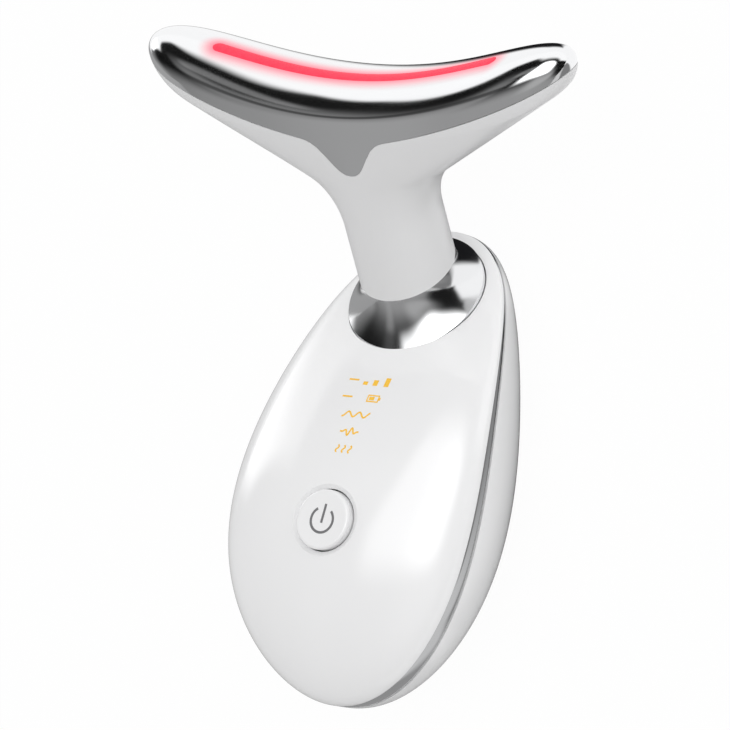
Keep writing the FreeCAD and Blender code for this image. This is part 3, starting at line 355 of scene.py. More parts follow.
class Tree:
    """The nodes of one material or of the world."""

    def __init__(self, owner):
        owner.use_nodes = True
        self.nodes = owner.node_tree.nodes
        self.links = owner.node_tree.links
        self.nodes.clear()

    def add(self, kind, settings=None, inputs=None, output=0):
        """One node: its settings first, then the values or links of its sockets."""
        node = self.nodes.new(kind)
        for key, value in (settings or {}).items():
            setattr(node, key, value)
        for key, value in (inputs or {}).items():
            if isinstance(value, Value):
                self.links.new(value.socket, node.inputs[key])
            elif value is not None:
                node.inputs[key].default_value = value
        return Value(self, node.outputs[output]) if node.outputs else None

    def place(self):
        """The point on the piece, in metres."""
        return self.add("ShaderNodeTexCoord")["Object"]

    def noise(self, scale, detail=2.0, rough=0.5, along=None):
        """Soft noise with that many grains to a metre."""
        inputs = {"Vector": along or self.place(), "Scale": scale, "Detail": detail, "Roughness": rough}
        return self.add("ShaderNodeTexNoise", {}, inputs)["Fac"]

    def mix(self, share, first, second):
        """A colour between two others."""
        return self.add("ShaderNodeMix", {"data_type": "RGBA"}, {0: share, 6: first, 7: second}, 2)

    def dot(self, vector, direction, offset=0.0):
        """How far a point lies along a direction."""
        inputs = {0: vector, 1: tuple(float(part) for part in direction)}
        return self.add("ShaderNodeVectorMath", {"operation": "DOT_PRODUCT"}, inputs)["Value"] - offset

    def bump(self, height, strength, depth):
        """A normal from a height that varies over the surface."""
        inputs = {"Height": height, "Strength": strength, "Distance": depth}
        return self.add("ShaderNodeBump", {}, inputs)

    def surface(self, **sockets):
        """The finished surface; socket names are written with underscores."""
        inputs = {key.replace("_", " "): value for key, value in sockets.items()}
        shader = self.add("ShaderNodeBsdfPrincipled", {}, inputs)
        self.add("ShaderNodeOutputMaterial", {}, {"Surface": shader})


def rgb(red, green, blue):
    """A solid colour."""
    return (red, green, blue, 1.0)


def shade(colour, share):
    """A colour darkened to a share of itself."""
    return tuple(part * share for part in colour[:3]) + (1.0,)


def moulded(name, colour, rough, grain=2500.0, depth=0.00002, coat=0.0, cloud=0.03):
    """Moulded plastic: faint clouds in the colour, uneven gloss and a fine skin texture."""
    material = bpy.data.materials.new(name)
    tree = Tree(material)
    clouds = tree.noise(60.0, 3.0)
    skin = tree.noise(grain, 2.0)
    wipe = tree.noise(240.0, 4.0, 0.6)
    tree.surface(
        Base_Color=tree.mix(clouds, shade(colour, 1 - cloud), colour),
        Roughness=rough * (0.8 + 0.4 * wipe),
        Normal=tree.bump(skin, 0.25, depth),
        Coat_Weight=coat,
        Coat_Roughness=0.04,
    )
    return material


def metal(name, colour, rough, lines=(1.0, 1.0, 1.0), scale=1500.0, depth=0.00001):
    """Bare metal: grains, or lines where the noise is stretched, in its gloss, its tone and its relief."""
    material = bpy.data.materials.new(name)
    tree = Tree(material)
    along = tree.add("ShaderNodeMapping", {}, {"Vector": tree.place(), "Scale": lines})
    streaks = tree.noise(scale, 4.0, 0.6, along)
    stains = tree.noise(90.0, 3.0)
    tree.surface(
        Base_Color=tree.mix(stains, shade(colour, 0.86), colour),
        Roughness=rough * (0.6 + 0.8 * streaks),
        Normal=tree.bump(streaks, 0.3, depth),
        Metallic=1.0,
    )
    return material


def plated(name, colour, rough):
    """Mirror plating over plastic: bright, with faint haze and the slow waves of the moulding below."""
    material = bpy.data.materials.new(name)
    tree = Tree(material)
    haze = tree.noise(70.0, 4.0, 0.6)
    waves = tree.noise(45.0, 1.0)
    tree.surface(
        Base_Color=tree.mix(haze, shade(colour, 0.97), colour),
        Roughness=rough * (0.6 + 0.8 * haze),
        Normal=tree.bump(waves, 0.15, 0.0001),
        Metallic=1.0,
    )
    return material


def plate_with_painted_glow(name, colour, rough, painted_glow):
    """The same plating with the light strip's glow painted into its colour and emission: strong at the strip,
    gone a little way off.

    The distance to the strip is that to a bar with round ends on the plate's middle line.
    """
    material = bpy.data.materials.new(name)
    tree = Tree(material)
    place = tree.place()
    haze = tree.noise(70.0, 4.0, 0.6)
    waves = tree.noise(45.0, 1.0)
    across = tree.dot(place, (1, 0, 0))
    back = tree.dot(place, STEM_BACK, float(FOOT @ STEM_BACK) * MM)
    up = tree.dot(place, STEM_AXIS, float(FOOT @ STEM_AXIS) * MM)
    past_end = (abs(across) - (WINDOW_HALF - WINDOW_WIDTH / 2) * MM).at_least(0.0)
    away = (past_end * past_end + back * back) ** 0.5 - WINDOW_WIDTH / 2 * MM
    on_top = up.fade(*(level * MM for level in PAINTED_GLOW_LEVELS))
    # Painted glow: the strip's light painted on the plate as a pink tint and an emission, fading away from
    # the strip
    painted_glow_share = (1 - away.fade(-PAINTED_GLOW_START * MM, PAINTED_GLOW_REACH * MM)) * on_top
    clean = tree.mix(haze, shade(colour, 0.97), colour)
    tree.surface(
        Base_Color=tree.mix(painted_glow_share * 0.85, clean, painted_glow),
        Roughness=rough * (0.6 + 0.8 * haze),
        Normal=tree.bump(waves, 0.15, 0.0001),
        Emission_Color=tree.mix(painted_glow_share * painted_glow_share, rgb(0, 0, 0), painted_glow),
        Emission_Strength=0.2,
        Metallic=1.0,
    )
    return material


def lit(name, edge, core, strength, grain=900.0):
    """A lit diffuser: its colour and light vary a little with the frosting."""
    material = bpy.data.materials.new(name)
    tree = Tree(material)
    frost = tree.noise(grain, 3.0)
    colour = tree.mix(frost.fade(0.3, 0.7), edge, core)
    tree.surface(
        Base_Color=colour,
        Roughness=0.4 + 0.2 * frost,
        Specular_IOR_Level=0.25,
        Emission_Color=colour,
        Emission_Strength=strength,
        Normal=tree.bump(frost, 0.1, 0.00002),
    )
    return material


def board_mask(name, mask, track):
    """A circuit board: thin tracks under solder mask, along the edges of square cells."""
    material = bpy.data.materials.new(name)
    tree = Tree(material)
    inputs = {"Vector": tree.place(), "Scale": 420.0}
    cells = tree.add("ShaderNodeTexVoronoi", {"distance": "MANHATTAN"}, inputs)
    tracks = cells["Distance"].fade(0.42, 0.5)
    cloud = tree.noise(300.0, 3.0)
    tree.surface(
        Base_Color=tree.mix(tracks, mask, track),
        Roughness=0.3 + 0.15 * cloud,
        Normal=tree.bump(tracks, 0.2, 0.00004),
    )
    return material


WHITE = rgb(0.86, 0.86, 0.865)
CHROME = rgb(0.93, 0.935, 0.945)
COLLAR_CHROME = rgb(0.86, 0.865, 0.875)
# Pink of the strip's glow, painted into the plate's colour and emission
PAINTED_GLOW = rgb(1.0, 0.12, 0.2)
BLACK = rgb(0.02, 0.02, 0.022)
BOARD = (rgb(0.012, 0.09, 0.035), rgb(0.03, 0.17, 0.07))
SCREW = rgb(0.55, 0.55, 0.56)

gloss_white = moulded("gloss_white", WHITE, 0.14, 1200.0, 0.000004, 0.6, 0.012)
# The dish round the button is a darker, duller copy of the cover's white: painted shade in the recess
dish_white_painted_shade = moulded("dish_white_painted_shade", rgb(0.81, 0.81, 0.815), 0.42, 2600.0, 0.00001, 0.0, 0.015)
button_white = moulded("button_white", rgb(0.84, 0.84, 0.845), 0.24, 2600.0, 0.00001, 0.2, 0.015)
satin_white = moulded("satin_white", rgb(0.72, 0.72, 0.725), 0.36, 3200.0, 0.00002, 0.0, 0.02)
# The plate's chrome carries the strip's painted glow
mirror_plate_painted_glow = plate_with_painted_glow("mirror_plate_painted_glow", CHROME, 0.1, PAINTED_GLOW)
mirror_collar = plated("mirror_collar", COLLAR_CHROME, 0.13)
mirror_trim = plated("mirror_trim", rgb(0.82, 0.825, 0.835), 0.08)
strip_red = lit("strip_red", rgb(0.6, 0.026, 0.055), rgb(0.68, 0.034, 0.066), 0.75)
mark_amber = lit("mark_amber", rgb(0.62, 0.36, 0.035), rgb(0.7, 0.42, 0.05), 0.35, 3000.0)
print_grey = moulded("print_grey", rgb(0.17, 0.17, 0.175), 0.4, 6000.0, 0.000004)

NODE_FINISHES = {
    "switch_body": moulded("switch_black", BLACK, 0.45),
    "switch_plunger": moulded("plunger_black", rgb(0.03, 0.03, 0.03), 0.35),
    "main_board": board_mask("board_green", *BOARD),
    "board_screws": metal("screw_steel", SCREW, 0.3),
    "indicator_leds": lit("lamp_amber", rgb(0.8, 0.5, 0.1), rgb(0.95, 0.7, 0.25), 0.3, 2000.0),
    "light_mask": moulded("mask_white", rgb(0.78, 0.78, 0.75), 0.5),
    "control_chip": moulded("chip_black", rgb(0.015, 0.015, 0.016), 0.5, 5000.0),
    "pulse_coil": metal("coil_copper", rgb(0.72, 0.36, 0.18), 0.35, (1.0, 1.0, 40.0), 120.0, 0.0001),
    "battery": moulded("cell_wrap", rgb(0.12, 0.2, 0.42), 0.3, 900.0, 0.00003),
    "battery_pad": moulded("pad_foam", rgb(0.05, 0.05, 0.053), 0.9, 1800.0, 0.0002),
    "charge_board": board_mask("charge_green", *BOARD),
    "charge_board_screws": metal("small_screw_steel", SCREW, 0.3),
    "charge_socket": metal("socket_steel", rgb(0.6, 0.6, 0.61), 0.25, (1.0, 12.0, 1.0), 700.0),
    "neck_tube": metal("tube_aluminium", rgb(0.72, 0.72, 0.74), 0.3, (1.0, 1.0, 12.0), 600.0),
    "neck_washer": metal("washer_steel", rgb(0.56, 0.56, 0.57), 0.32),
    "neck_nut": metal("nut_aluminium", rgb(0.7, 0.7, 0.72), 0.3),
    "light_board": board_mask("light_board_green", *BOARD),
    "light_leds": lit("lamp_red", rgb(0.8, 0.1, 0.12), rgb(0.95, 0.25, 0.25), 0.5, 2000.0),
    "heater_film": moulded("film_amber", rgb(0.5, 0.2, 0.03), 0.25, 700.0, 0.00003),
    "motor_can": metal("motor_steel", rgb(0.6, 0.6, 0.6), 0.28, (1.0, 8.0, 8.0), 400.0),
    "motor_boot": moulded("boot_rubber", rgb(0.06, 0.06, 0.062), 0.75, 1500.0, 0.00005),
    "motor_shaft": metal("shaft_steel", rgb(0.62, 0.62, 0.63), 0.18),
    "eccentric_weight": metal("weight_metal", rgb(0.5, 0.44, 0.34), 0.42, scale=2500.0, depth=0.00003),
    "head_lead": moulded("lead_sheath", BLACK, 0.55, 900.0, 0.00005),
}
for node, finish in NODE_FINISHES.items():
    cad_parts[node].data.materials.clear()
    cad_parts[node].data.materials.append(finish)


# Handle: front cover, trim ring and rear cover

def half_width(angle):
    """Half the outline's width by angle, 0 at the tail and pi at the neck: a sine with three cosine terms."""
    once, twice, thrice = OUTLINE_WAVES
    shape = 1 + once * np.cos(angle) + twice * np.cos(2 * angle) + thrice * np.cos(3 * angle)
    return HALF_WIDTH * np.sin(angle) * shape


def seam(share):
    """Height of the front cover's edge, by place along the handle from -1 to 1."""
    return SEAM_LEVEL - SEAM_SLOPE * share - SEAM_SAG * share ** 2 * (1 - SEAM_SKEW * share)


def band(share):
    """Height of the trim ring's band, narrower towards the neck."""
    return BAND_WIDTH - BAND_TAPER * share


def dome_rise(share):
    """Rise of the front cover along the middle line, before it is rounded off at both ends."""
    return DOME_RISE - DOME_TAPER * share - DOME_ROUND * share ** 2


def panel(x, y):
    """Height of the front cover over a place on the table."""
    share = (y - MIDDLE) / HALF_LENGTH
    width = half_width(np.arccos(-share))
    rise = np.sqrt(np.maximum(1 - share ** 2, 0)) * dome_rise(share)
    return seam(share) + rise * np.sqrt(np.maximum(1 - (x / width) ** 2, 0))


BUTTON_LEVEL = float(panel(0.0, BUTTON_Y))
BUTTON_SLOPE = float(panel(0.0, BUTTON_Y + 0.5) - panel(0.0, BUTTON_Y - 0.5))


def button_plane(y):
    """Height of the plane that touches the panel at the button."""
    return BUTTON_LEVEL + BUTTON_SLOPE * (y - BUTTON_Y)


def dome(a, b):
    """Front cover: half ellipses across the handle, standing on its edge."""
    angle, sweep = np.pi * a, np.pi * b
    share = -np.cos(angle)
    level = seam(share) + np.sin(angle) * dome_rise(share) * np.sin(sweep)
    return stacked(half_width(angle) * np.cos(sweep), MIDDLE + HALF_LENGTH * share, level)


def dish_radius(level):
    """Radius of the dish round the button at a height over the button's plane."""
    return HOLE_RADIUS + DISH_WIDTH / DISH_DEPTH * (level + DISH_DEPTH)


def cover_left(points):
    """Above zero where the front cover is left: outside the button's dish and the collar's hole."""
    x, y, z = np.moveaxis(points, -1, 0)
    dish = np.hypot(x, y - BUTTON_Y) - dish_radius(z - button_plane(y))
    from_collar = points - COLLAR_CENTRE
    axis = leaning(COLLAR_LEAN)
    along = from_collar @ axis
    hole = np.linalg.norm(from_collar - along[..., None] * axis, axis=-1) - COLLAR_RADIUS - COLLAR_GAP
    return np.minimum(dish, hole)


def front_cover():
    """The dome without its dish and its collar hole, as a wall."""
    points, faces = welded(*trimmed(dome, *COVER_GRID, cover_left))
    faces = turned_from(points, faces, (0, MIDDLE, 0))
    shape = walled(points, faces, FRONT_WALL)
    piece("front_cover_skin", shape, gloss_white, node="front_cover")


def button_dish():
    """The cone round the button and the wall of its hole: rings round the button's axis, along its plane.

    The cone's outer edge is where it meets the panel, found by going round until the radius settles.
    """
    turn = np.linspace(0, 2 * np.pi, 180, endpoint=False)
    edge = np.full_like(turn, HOLE_RADIUS + DISH_WIDTH)
    for _ in range(20):
        y = BUTTON_Y + edge * np.sin(turn)
        level = panel(edge * np.cos(turn), y) - button_plane(y)
        edge = dish_radius(level)
    share = np.linspace(0, 1, 9)[:, None]
    cone_level = level + (-DISH_DEPTH - level) * share
    wall_level = np.linspace(-DISH_DEPTH, -HOLE_WALL, 5)[1:, None] + 0 * turn
    levels = np.concatenate([cone_level, wall_level])
    radius = np.concatenate([dish_radius(cone_level), 0 * wall_level + HOLE_RADIUS])
    y = BUTTON_Y + radius * np.sin(turn)
    points = stacked(radius * np.cos(turn), y, button_plane(y) + levels)
    faces = quads(len(levels), len(turn), wrap_columns=True)
    flat = points.reshape(-1, 3)
    if face_turns(flat, faces)[:, 2].sum() < 0:
        faces = faces[:, [1, 0, 3, 2]]
    # The dish's darker white is painted shade of the recess round the button
    piece("button_dish", walled(flat, faces, DISH_WALL), dish_white_painted_shade)


def revolved(profile, centre, count=160):
    """A profile of (radius, height) carried round an upright axis."""
    turn = np.linspace(0, 2 * np.pi, count, endpoint=False)
    radius, level = np.asarray(profile, float).T[..., None]
    ring = stacked(radius * np.cos(turn), radius * np.sin(turn), level)
    return (ring + np.asarray(centre)).reshape(-1, 3), quads(len(radius), count, wrap_columns=True)


def cap_level(radius):
    """Height of the cap's hollow top over the button's plane: a shallow parabola up to its rounded edge."""
    return BUTTON_RISE - BUTTON_HOLLOW * (1 - (radius / BUTTON_TOP) ** 2)


def power_button():
    """Cap with a hollow top along the button's plane, a rounded edge, a straight side and a level foot.

    The profile is carried round an upright axis, then sheared: fully at the top and not at all at the foot.
    """
    flat = np.linspace(0, BUTTON_TOP, 12)
    angle = np.linspace(0, np.pi / 2, 9)[1:]
    down = np.linspace(0, -BUTTON_FOOT, 5)
    radius = np.concatenate([flat, BUTTON_TOP + BUTTON_EDGE * np.sin(angle), np.full(5, BUTTON_RADIUS),
                             [BUTTON_RADIUS - BUTTON_LIP, 0]])
    level = np.concatenate([cap_level(flat), BUTTON_RISE - BUTTON_EDGE + BUTTON_EDGE * np.cos(angle), down,
                            [-BUTTON_FOOT, -BUTTON_FOOT]])
    points, faces = revolved(np.stack([radius, level], 1), (0, BUTTON_Y, BUTTON_LEVEL))
    leaning_share = np.clip((points[:, 2] - BUTTON_LEVEL) / BUTTON_FOOT + 1, 0, 1)
    points[:, 2] += leaning_share * BUTTON_SLOPE * (points[:, 1] - BUTTON_Y)
    piece("button_cap", (points, faces), button_white, "button", node="power_button")


def ribbon(x, y, width, height):
    """A flat line of even width along a path, lying on height(x, y), with a thin wall."""
    x, y = np.asarray(x, float), np.asarray(y, float)
    run_x, run_y = np.gradient(x), np.gradient(y)
    length = np.hypot(run_x, run_y)
    side = np.linspace(-0.5, 0.5, 4) * width
    across_x = x[:, None] - side * (run_y / length)[:, None]
    across_y = y[:, None] + side * (run_x / length)[:, None]
    points = stacked(across_x, across_y, height(across_x, across_y)).reshape(-1, 3)
    faces = quads(len(x), len(side))
    if face_turns(points, faces)[:, 2].sum() < 0:
        faces = faces[:, [1, 0, 3, 2]]
    return walled(points, faces, SIGN_THICK)


def line(start, end, count=9):
    """Points along a straight run."""
    return np.linspace(start[0], end[0], count), np.linspace(start[1], end[1], count)


def power_mark():
    """The plain on-off sign: an open ring and a short bar."""
    def cap_top(x, y):
        return button_plane(y) + cap_level(np.hypot(x, y - BUTTON_Y)) + CAP_SIGN_LIFT

    turn = np.radians(np.linspace(*CAP_SIGN_ARC, 72))
    centre = BUTTON_Y - 0.1
    x, y = CAP_SIGN_RADIUS * np.cos(turn), centre + CAP_SIGN_RADIUS * np.sin(turn)
    ring = ribbon(x, y, CAP_SIGN_LINE, cap_top)
    bar = ribbon(*line((-0.05, centre - 0.6), (0.27, centre + 3.1)), CAP_SIGN_LINE, cap_top)
    piece("power_mark", joined(ring, bar), print_grey, "button")


def panel_marks():
    """Rows of plain lit signs, from the button up: heat waves, a pulse, a wave, a battery and level bars.

    The pulse is a sine under a bell curve.
    """
    def face(x, y):
        return panel(x, y) + LIT_SIGN_LIFT

    def stroke(start, end, width=LIT_SIGN_LINE):
        parts.append(ribbon(*line(start, end), width, face))

    parts = []
    heat, pulse, wave, charge, bars = MIDDLE + HALF_LENGTH * (FIRST_ROW + ROW_STEP * np.arange(5))
    for x, tall in ((-0.9, 0.7), (1.3, 1.15), (3.8, 1.8)):
        stroke((x, bars - 0.9), (x, bars - 0.9 + tall), 1.05)
    stroke((-4.9, bars), (-2.6, bars))
    for y in (charge + 0.62, charge - 0.62):
        stroke((0.9, y), (3.5, y), BATTERY_LINE)
    for x in (1.02, 3.4):
        stroke((x, charge - 0.6), (x, charge + 0.6), BATTERY_LINE)
    stroke((1.35, charge), (2.5, charge), 0.7)
    stroke((3.45, charge), (3.85, charge), 0.6)
    stroke((-4.8, charge), (-2.5, charge))
    swing = np.linspace(-3.2, 3.0, 60)
    parts.append(ribbon(swing, wave + 0.5 * np.sin(swing * 2.6), LIT_SIGN_LINE, face))
    beat = np.linspace(-2.2, 2.0, 60)
    jump = 0.85 * np.sin(beat * 4.2) * np.exp(-(beat / 1.1) ** 2)
    parts.append(ribbon(beat, pulse + jump, LIT_SIGN_LINE, face))
    rise = np.linspace(-0.75, 0.75, 24)
    for x in (-1.4, 0.0, 1.4):
        parts.append(ribbon(x + 0.28 * np.sin(rise * 4.2), heat + rise, 0.32, face))
    piece("panel_marks", joined(*parts), mark_amber)


def trim_ring():
    """A band round the handle: a swelling profile carried along the outline, set in along its normal.

    The profile is an arc; its sine gives the share of the band's height.
    """
    angle = np.linspace(0, 2 * np.pi, 480, endpoint=False)
    share = -np.cos(angle)
    x, y = half_width(angle), MIDDLE + HALF_LENGTH * share
    run_x, run_y = np.gradient(x), np.gradient(y)
    run_x[[0, -1]] = (x[1] - x[-1]) / 2, (x[0] - x[-2]) / 2
    run_y[[0, -1]] = (y[1] - y[-1]) / 2, (y[0] - y[-2]) / 2
    length = np.hypot(run_x, run_y)
    out_x, out_y = -run_y / length, run_x / length
    facing = np.sign((out_x * x + out_y * (y - MIDDLE)).sum())
    swell = np.radians(np.linspace(*TRIM_ARC, 15))
    out = np.concatenate([TRIM_SWELL * (np.cos(swell) - 1), [-TRIM_WIDTH, -TRIM_WIDTH]])
    rise = (np.sin(swell) - np.sin(swell[-1])) / (np.sin(swell[0]) - np.sin(swell[-1]))
    rise = np.concatenate([rise, [0, 1]])[:, None]
    level = seam(share) - band(share) + (band(share) - SEAM_GAP) * rise
    points = stacked(x + facing * out[:, None] * out_x, y + facing * out[:, None] * out_y, level)
    faces = quads(len(out), len(angle), True, True)
    shape = points.reshape(-1, 3), faces
    piece("trim_band", shape, mirror_trim, node="trim_ring", sharp=50)


def bowl(a, b):
    """Rear cover: full half ellipses hanging under the trim ring, cut flat where it rests."""
    angle, sweep = np.pi * a, np.pi * b
    share = -np.cos(angle)
    top = seam(share) - band(share) - SEAM_GAP
    once, twice = BOWL_WAVES
    depth = BOWL_DEPTH * np.sin(angle) * (1 + once * np.cos(angle) + twice * np.cos(2 * angle))
    wide = 1 + BOWL_FULL * np.sin(sweep) ** 2
    deep = 1 + BOWL_FULL * np.cos(sweep) ** 2
    level = np.maximum(top - depth * np.sin(sweep) * deep, 0.0)
    return stacked(half_width(angle) * np.cos(sweep) * wide, MIDDLE + HALF_LENGTH * share, level)


def slot_left(points):
    """Above zero outside the charging slot, a rounded rectangle seen along the handle from the tail."""
    x, y, z = np.moveaxis(points, -1, 0)
    beside = abs(x) - SLOT_HALF_WIDTH + SLOT_ROUND
    above = abs(z - SLOT_LEVEL) - SLOT_HALF_HEIGHT + SLOT_ROUND
    past_corner = np.hypot(np.maximum(beside, 0), np.maximum(above, 0))
    distance = past_corner + np.minimum(np.maximum(beside, above), 0) - SLOT_ROUND
    return np.where(y < MIDDLE, distance, 1.0)


def rear_cover():
    """The bowl without its charging slot, as a wall."""
    points, faces = welded(*trimmed(bowl, *COVER_GRID, slot_left))
    faces = turned_from(points, faces, (0, MIDDLE, INSIDE_BOWL))
    shape = walled(points, faces, REAR_WALL)
    piece("rear_cover_skin", shape, gloss_white, node="rear_cover")


# Neck collar and head

def neck_collar():
    """Circles from the skirt over the rim to the stem's foot.

    Their centre and lean run evenly; the radius falls fast at first, by a power of what is left.
    """
    turn = np.linspace(0, 2 * np.pi, 240, endpoint=False)
    share = np.linspace(0, 1, 41)
    lean = np.radians(COLLAR_LEAN + (FOOT_LEAN - COLLAR_LEAN) * share)
    centre = COLLAR_CENTRE + (FOOT - COLLAR_CENTRE) * share[:, None]
    radius = COLLAR_NECK + (COLLAR_RADIUS - COLLAR_NECK) * (1 - share) ** COLLAR_POWER
    drop = COLLAR_SKIRT * np.array([1.0, 0.5, 0.1])
    lean = np.concatenate([np.radians([COLLAR_LEAN] * 3), lean])
    centre = np.concatenate([COLLAR_CENTRE - drop[:, None] * leaning(COLLAR_LEAN), centre])
    radius = np.concatenate([[COLLAR_RADIUS] * 3, radius])
    lean = lean[:, None]
    ring = stacked(np.cos(turn), np.sin(turn) * np.cos(lean), -np.sin(turn) * np.sin(lean))
    points = (centre[:, None] + radius[:, None, None] * ring).reshape(-1, 3)
    faces = turned_from(points, quads(len(radius), len(turn), wrap_columns=True), COLLAR_CENTRE)
    shape = walled(points, faces, COLLAR_WALL)
    piece("collar_flare", shape, mirror_collar, node="neck_collar")


TURN = np.pi / 2 - WING_RISE
FLARE_X = STEM_RADIUS + FLARE_RADIUS * (1 - np.cos(TURN))
TIP_X = WING_REACH - TIP_RADIUS * (1 - np.sin(WING_RISE))
WING_LENGTH = (TIP_X - FLARE_X) / np.cos(WING_RISE)
FLARE_END = STEM_STRAIGHT + FLARE_RADIUS * TURN
WING_END = FLARE_END + WING_LENGTH
OUTLINE_END = WING_END + TIP_RADIUS * TURN


def underside(run):
    """Half width and height of the head's outline after a run along it: line, arc, line, arc."""
    flare = np.clip(run - STEM_STRAIGHT, 0, FLARE_END - STEM_STRAIGHT) / FLARE_RADIUS
    wing = np.clip(run - FLARE_END, 0, WING_LENGTH)
    tip = WING_RISE + np.clip(run - WING_END, 0, None) / TIP_RADIUS
    width = (STEM_RADIUS + FLARE_RADIUS * (1 - np.cos(flare)) + wing * np.cos(WING_RISE)
             + TIP_RADIUS * (np.sin(tip) - np.sin(WING_RISE)))
    level = (np.minimum(run, STEM_STRAIGHT) + FLARE_RADIUS * np.sin(flare) + wing * np.sin(WING_RISE)
             + TIP_RADIUS * (np.cos(WING_RISE) - np.cos(tip)))
    return width, level


def head_ring(run, turn):
    """Lower skin of the head in the stem's frame: rings from the stem's circle to the head's outline.

    A ring's depth follows a sine of its width; its bow, sweep and fullness grow towards the tips.
    """
    width, level = underside(run)
    ease = np.sin(np.pi / 2 * (width - STEM_RADIUS) / (WING_REACH - STEM_RADIUS))
    depth = STEM_RADIUS + (HEAD_HALF_DEPTH - STEM_RADIUS) * ease
    spread = (width ** 2 - STEM_RADIUS ** 2) / (WING_REACH ** 2 - STEM_RADIUS ** 2)
    side = np.cos(turn) ** 2
    full = HEAD_FULL * side + HEAD_BLUNT * side ** 2
    back = depth * np.sin(turn) * (1 + ease * full) + HEAD_SWEEP * spread * side
    return stacked(width * np.cos(turn), back, level - HEAD_BOW * spread * (1 - side))


WIDEST = underside(OUTLINE_END)[1] - HEAD_BOW


def plate_edge(x):
    """Height of the massage plate's lower edge: a power curve along the wings, less the tongue's bell."""
    climb = HEAD_BOW + PLATE_DROP - PLATE_TIP_DROP
    wing = WIDEST - PLATE_DROP + climb * abs(x / WING_REACH) ** PLATE_EDGE_POWER
    return wing - TONGUE_DROP * np.exp(-abs(x / TONGUE_HALF) ** TONGUE_POWER)


def split_run(turn):
    """Run along the outline at which each column of the lower skin crosses the plate's edge, by halving."""
    low, high = np.full_like(turn, STEM_STRAIGHT), np.full_like(turn, OUTLINE_END)
    for _ in range(50):
        middle = (low + high) / 2
        x, _, z = np.moveaxis(head_ring(middle, turn), -1, 0)
        over = z > plate_edge(x)
        low, high = np.where(over, low, middle), np.where(over, middle, high)
    return (low + high) / 2


def from_stem(points):
    """Points of the stem's frame (across, back, along the stem) set in the handle's frame."""
    x, back, along = np.moveaxis(points, -1, 0)
    return FOOT + stacked(x, 0, 0) + back[..., None] * STEM_BACK + along[..., None] * STEM_AXIS


def head_shell():
    """Stem, flare and undersides of the wings, up to just below the massage plate's edge."""
    turn = np.linspace(0, 2 * np.pi, 360, endpoint=False)
    lean = np.radians(STEM_LEAN - FOOT_LEAN)
    start = STEM_RADIUS * np.sin(turn) * np.tan(lean) + FOOT_GAP
    end = split_run(turn) - PLATE_GAP
    run = start + (end - start) * np.linspace(0, 1, SHELL_ROWS)[:, None]
    points = from_stem(head_ring(run, turn)).reshape(-1, 3)
    points, faces = welded(points, quads(SHELL_ROWS, len(turn), wrap_columns=True))
    faces = turned_from(points, faces, FOOT + INSIDE_SHELL * STEM_AXIS)
    shape = walled(points, faces, SHELL_WALL)
    piece("head_shell_skin", shape, satin_white, node="head_shell")


def crown_section(turn):
    """Rim, middle line and rise of the massage face across the head, by angle from tip to tip."""
    middle = HEAD_SWEEP * np.cos(turn) ** 2
    rise = np.sin(turn) * (CROWN_HEIGHT + CROWN_TIPS * np.cos(turn) ** 2)
    return head_ring(OUTLINE_END, turn), middle, rise


def crown(x, back):
    """Height of the massage face in the stem's frame: half ellipses across the head."""
    edge, middle, rise = crown_section(np.arccos(np.clip(x / WING_REACH, -1, 1)))
    share = (back - middle) / (edge[..., 1] - middle)
    return edge[..., 2] + rise * np.sqrt(np.maximum(1 - share ** 2, 0))


def massage_plate():
    """One skin from the back edge over the massage face to the front edge, tip to tip.

    The face's half ellipses have their points closer together at the rims.
    """
    turn = np.linspace(0, np.pi, 221)[:, None]
    share = np.linspace(0, 1, 41)
    arc = np.pi * (1 - np.cos(np.pi * np.linspace(0, 1, 101))) / 2
    back_run = split_run(turn) + PLATE_GAP
    front_run = split_run(-turn) + PLATE_GAP
    back_side = head_ring(back_run + (OUTLINE_END - back_run) * share, turn)
    front_side = head_ring(front_run + (OUTLINE_END - front_run) * share[::-1], -turn)
    edge, middle, rise = crown_section(turn)
    back = middle + (edge[..., 1] - middle) * np.cos(arc)
    top = stacked(edge[..., 0], back, edge[..., 2] + rise * np.sin(arc))
    grid = np.concatenate([back_side[:, :-1], top, front_side[:, 1:]], 1)
    points, faces = welded(from_stem(grid).reshape(-1, 3), quads(*grid.shape[:2]))
    faces = turned_from(points, faces, FOOT + INSIDE_PLATE * STEM_AXIS)
    shape = walled(points, faces, PLATE_WALL)
    piece("massage_plate_skin", shape, mirror_plate_painted_glow, node="massage_plate", sharp=60)


def light_strip():
    """A low crowned strip with round ends on the middle line of the massage face."""
    half = WINDOW_WIDTH / 2
    along = np.linspace(-np.pi / 2, np.pi / 2, 161)[:, None]
    x = WINDOW_HALF * np.sin(along)
    past_end = np.maximum(abs(x) - WINDOW_HALF + half, 0)
    reach = np.sqrt(np.maximum(half ** 2 - past_end ** 2, 0))
    side = np.linspace(-1, 1, 13)
    back = reach * side
    lift = STRIP_LIFT + STRIP_CROWN * (1 - side ** 2) * reach / half
    grid = from_stem(stacked(x, back, crown(x, back) + lift))
    points, faces = welded(grid.reshape(-1, 3), quads(*grid.shape[:2]))
    shape = walled(points, turned_from(points, faces, FOOT), STRIP_WALL)
    piece("light_strip", shape, strip_red, node="light_window")


front_cover()
button_dish()
power_button()
power_mark()
panel_marks()
trim_ring()
rear_cover()
neck_collar()
head_shell()
massage_plate()
light_strip()


# Stage: floor, lamps, world and camera

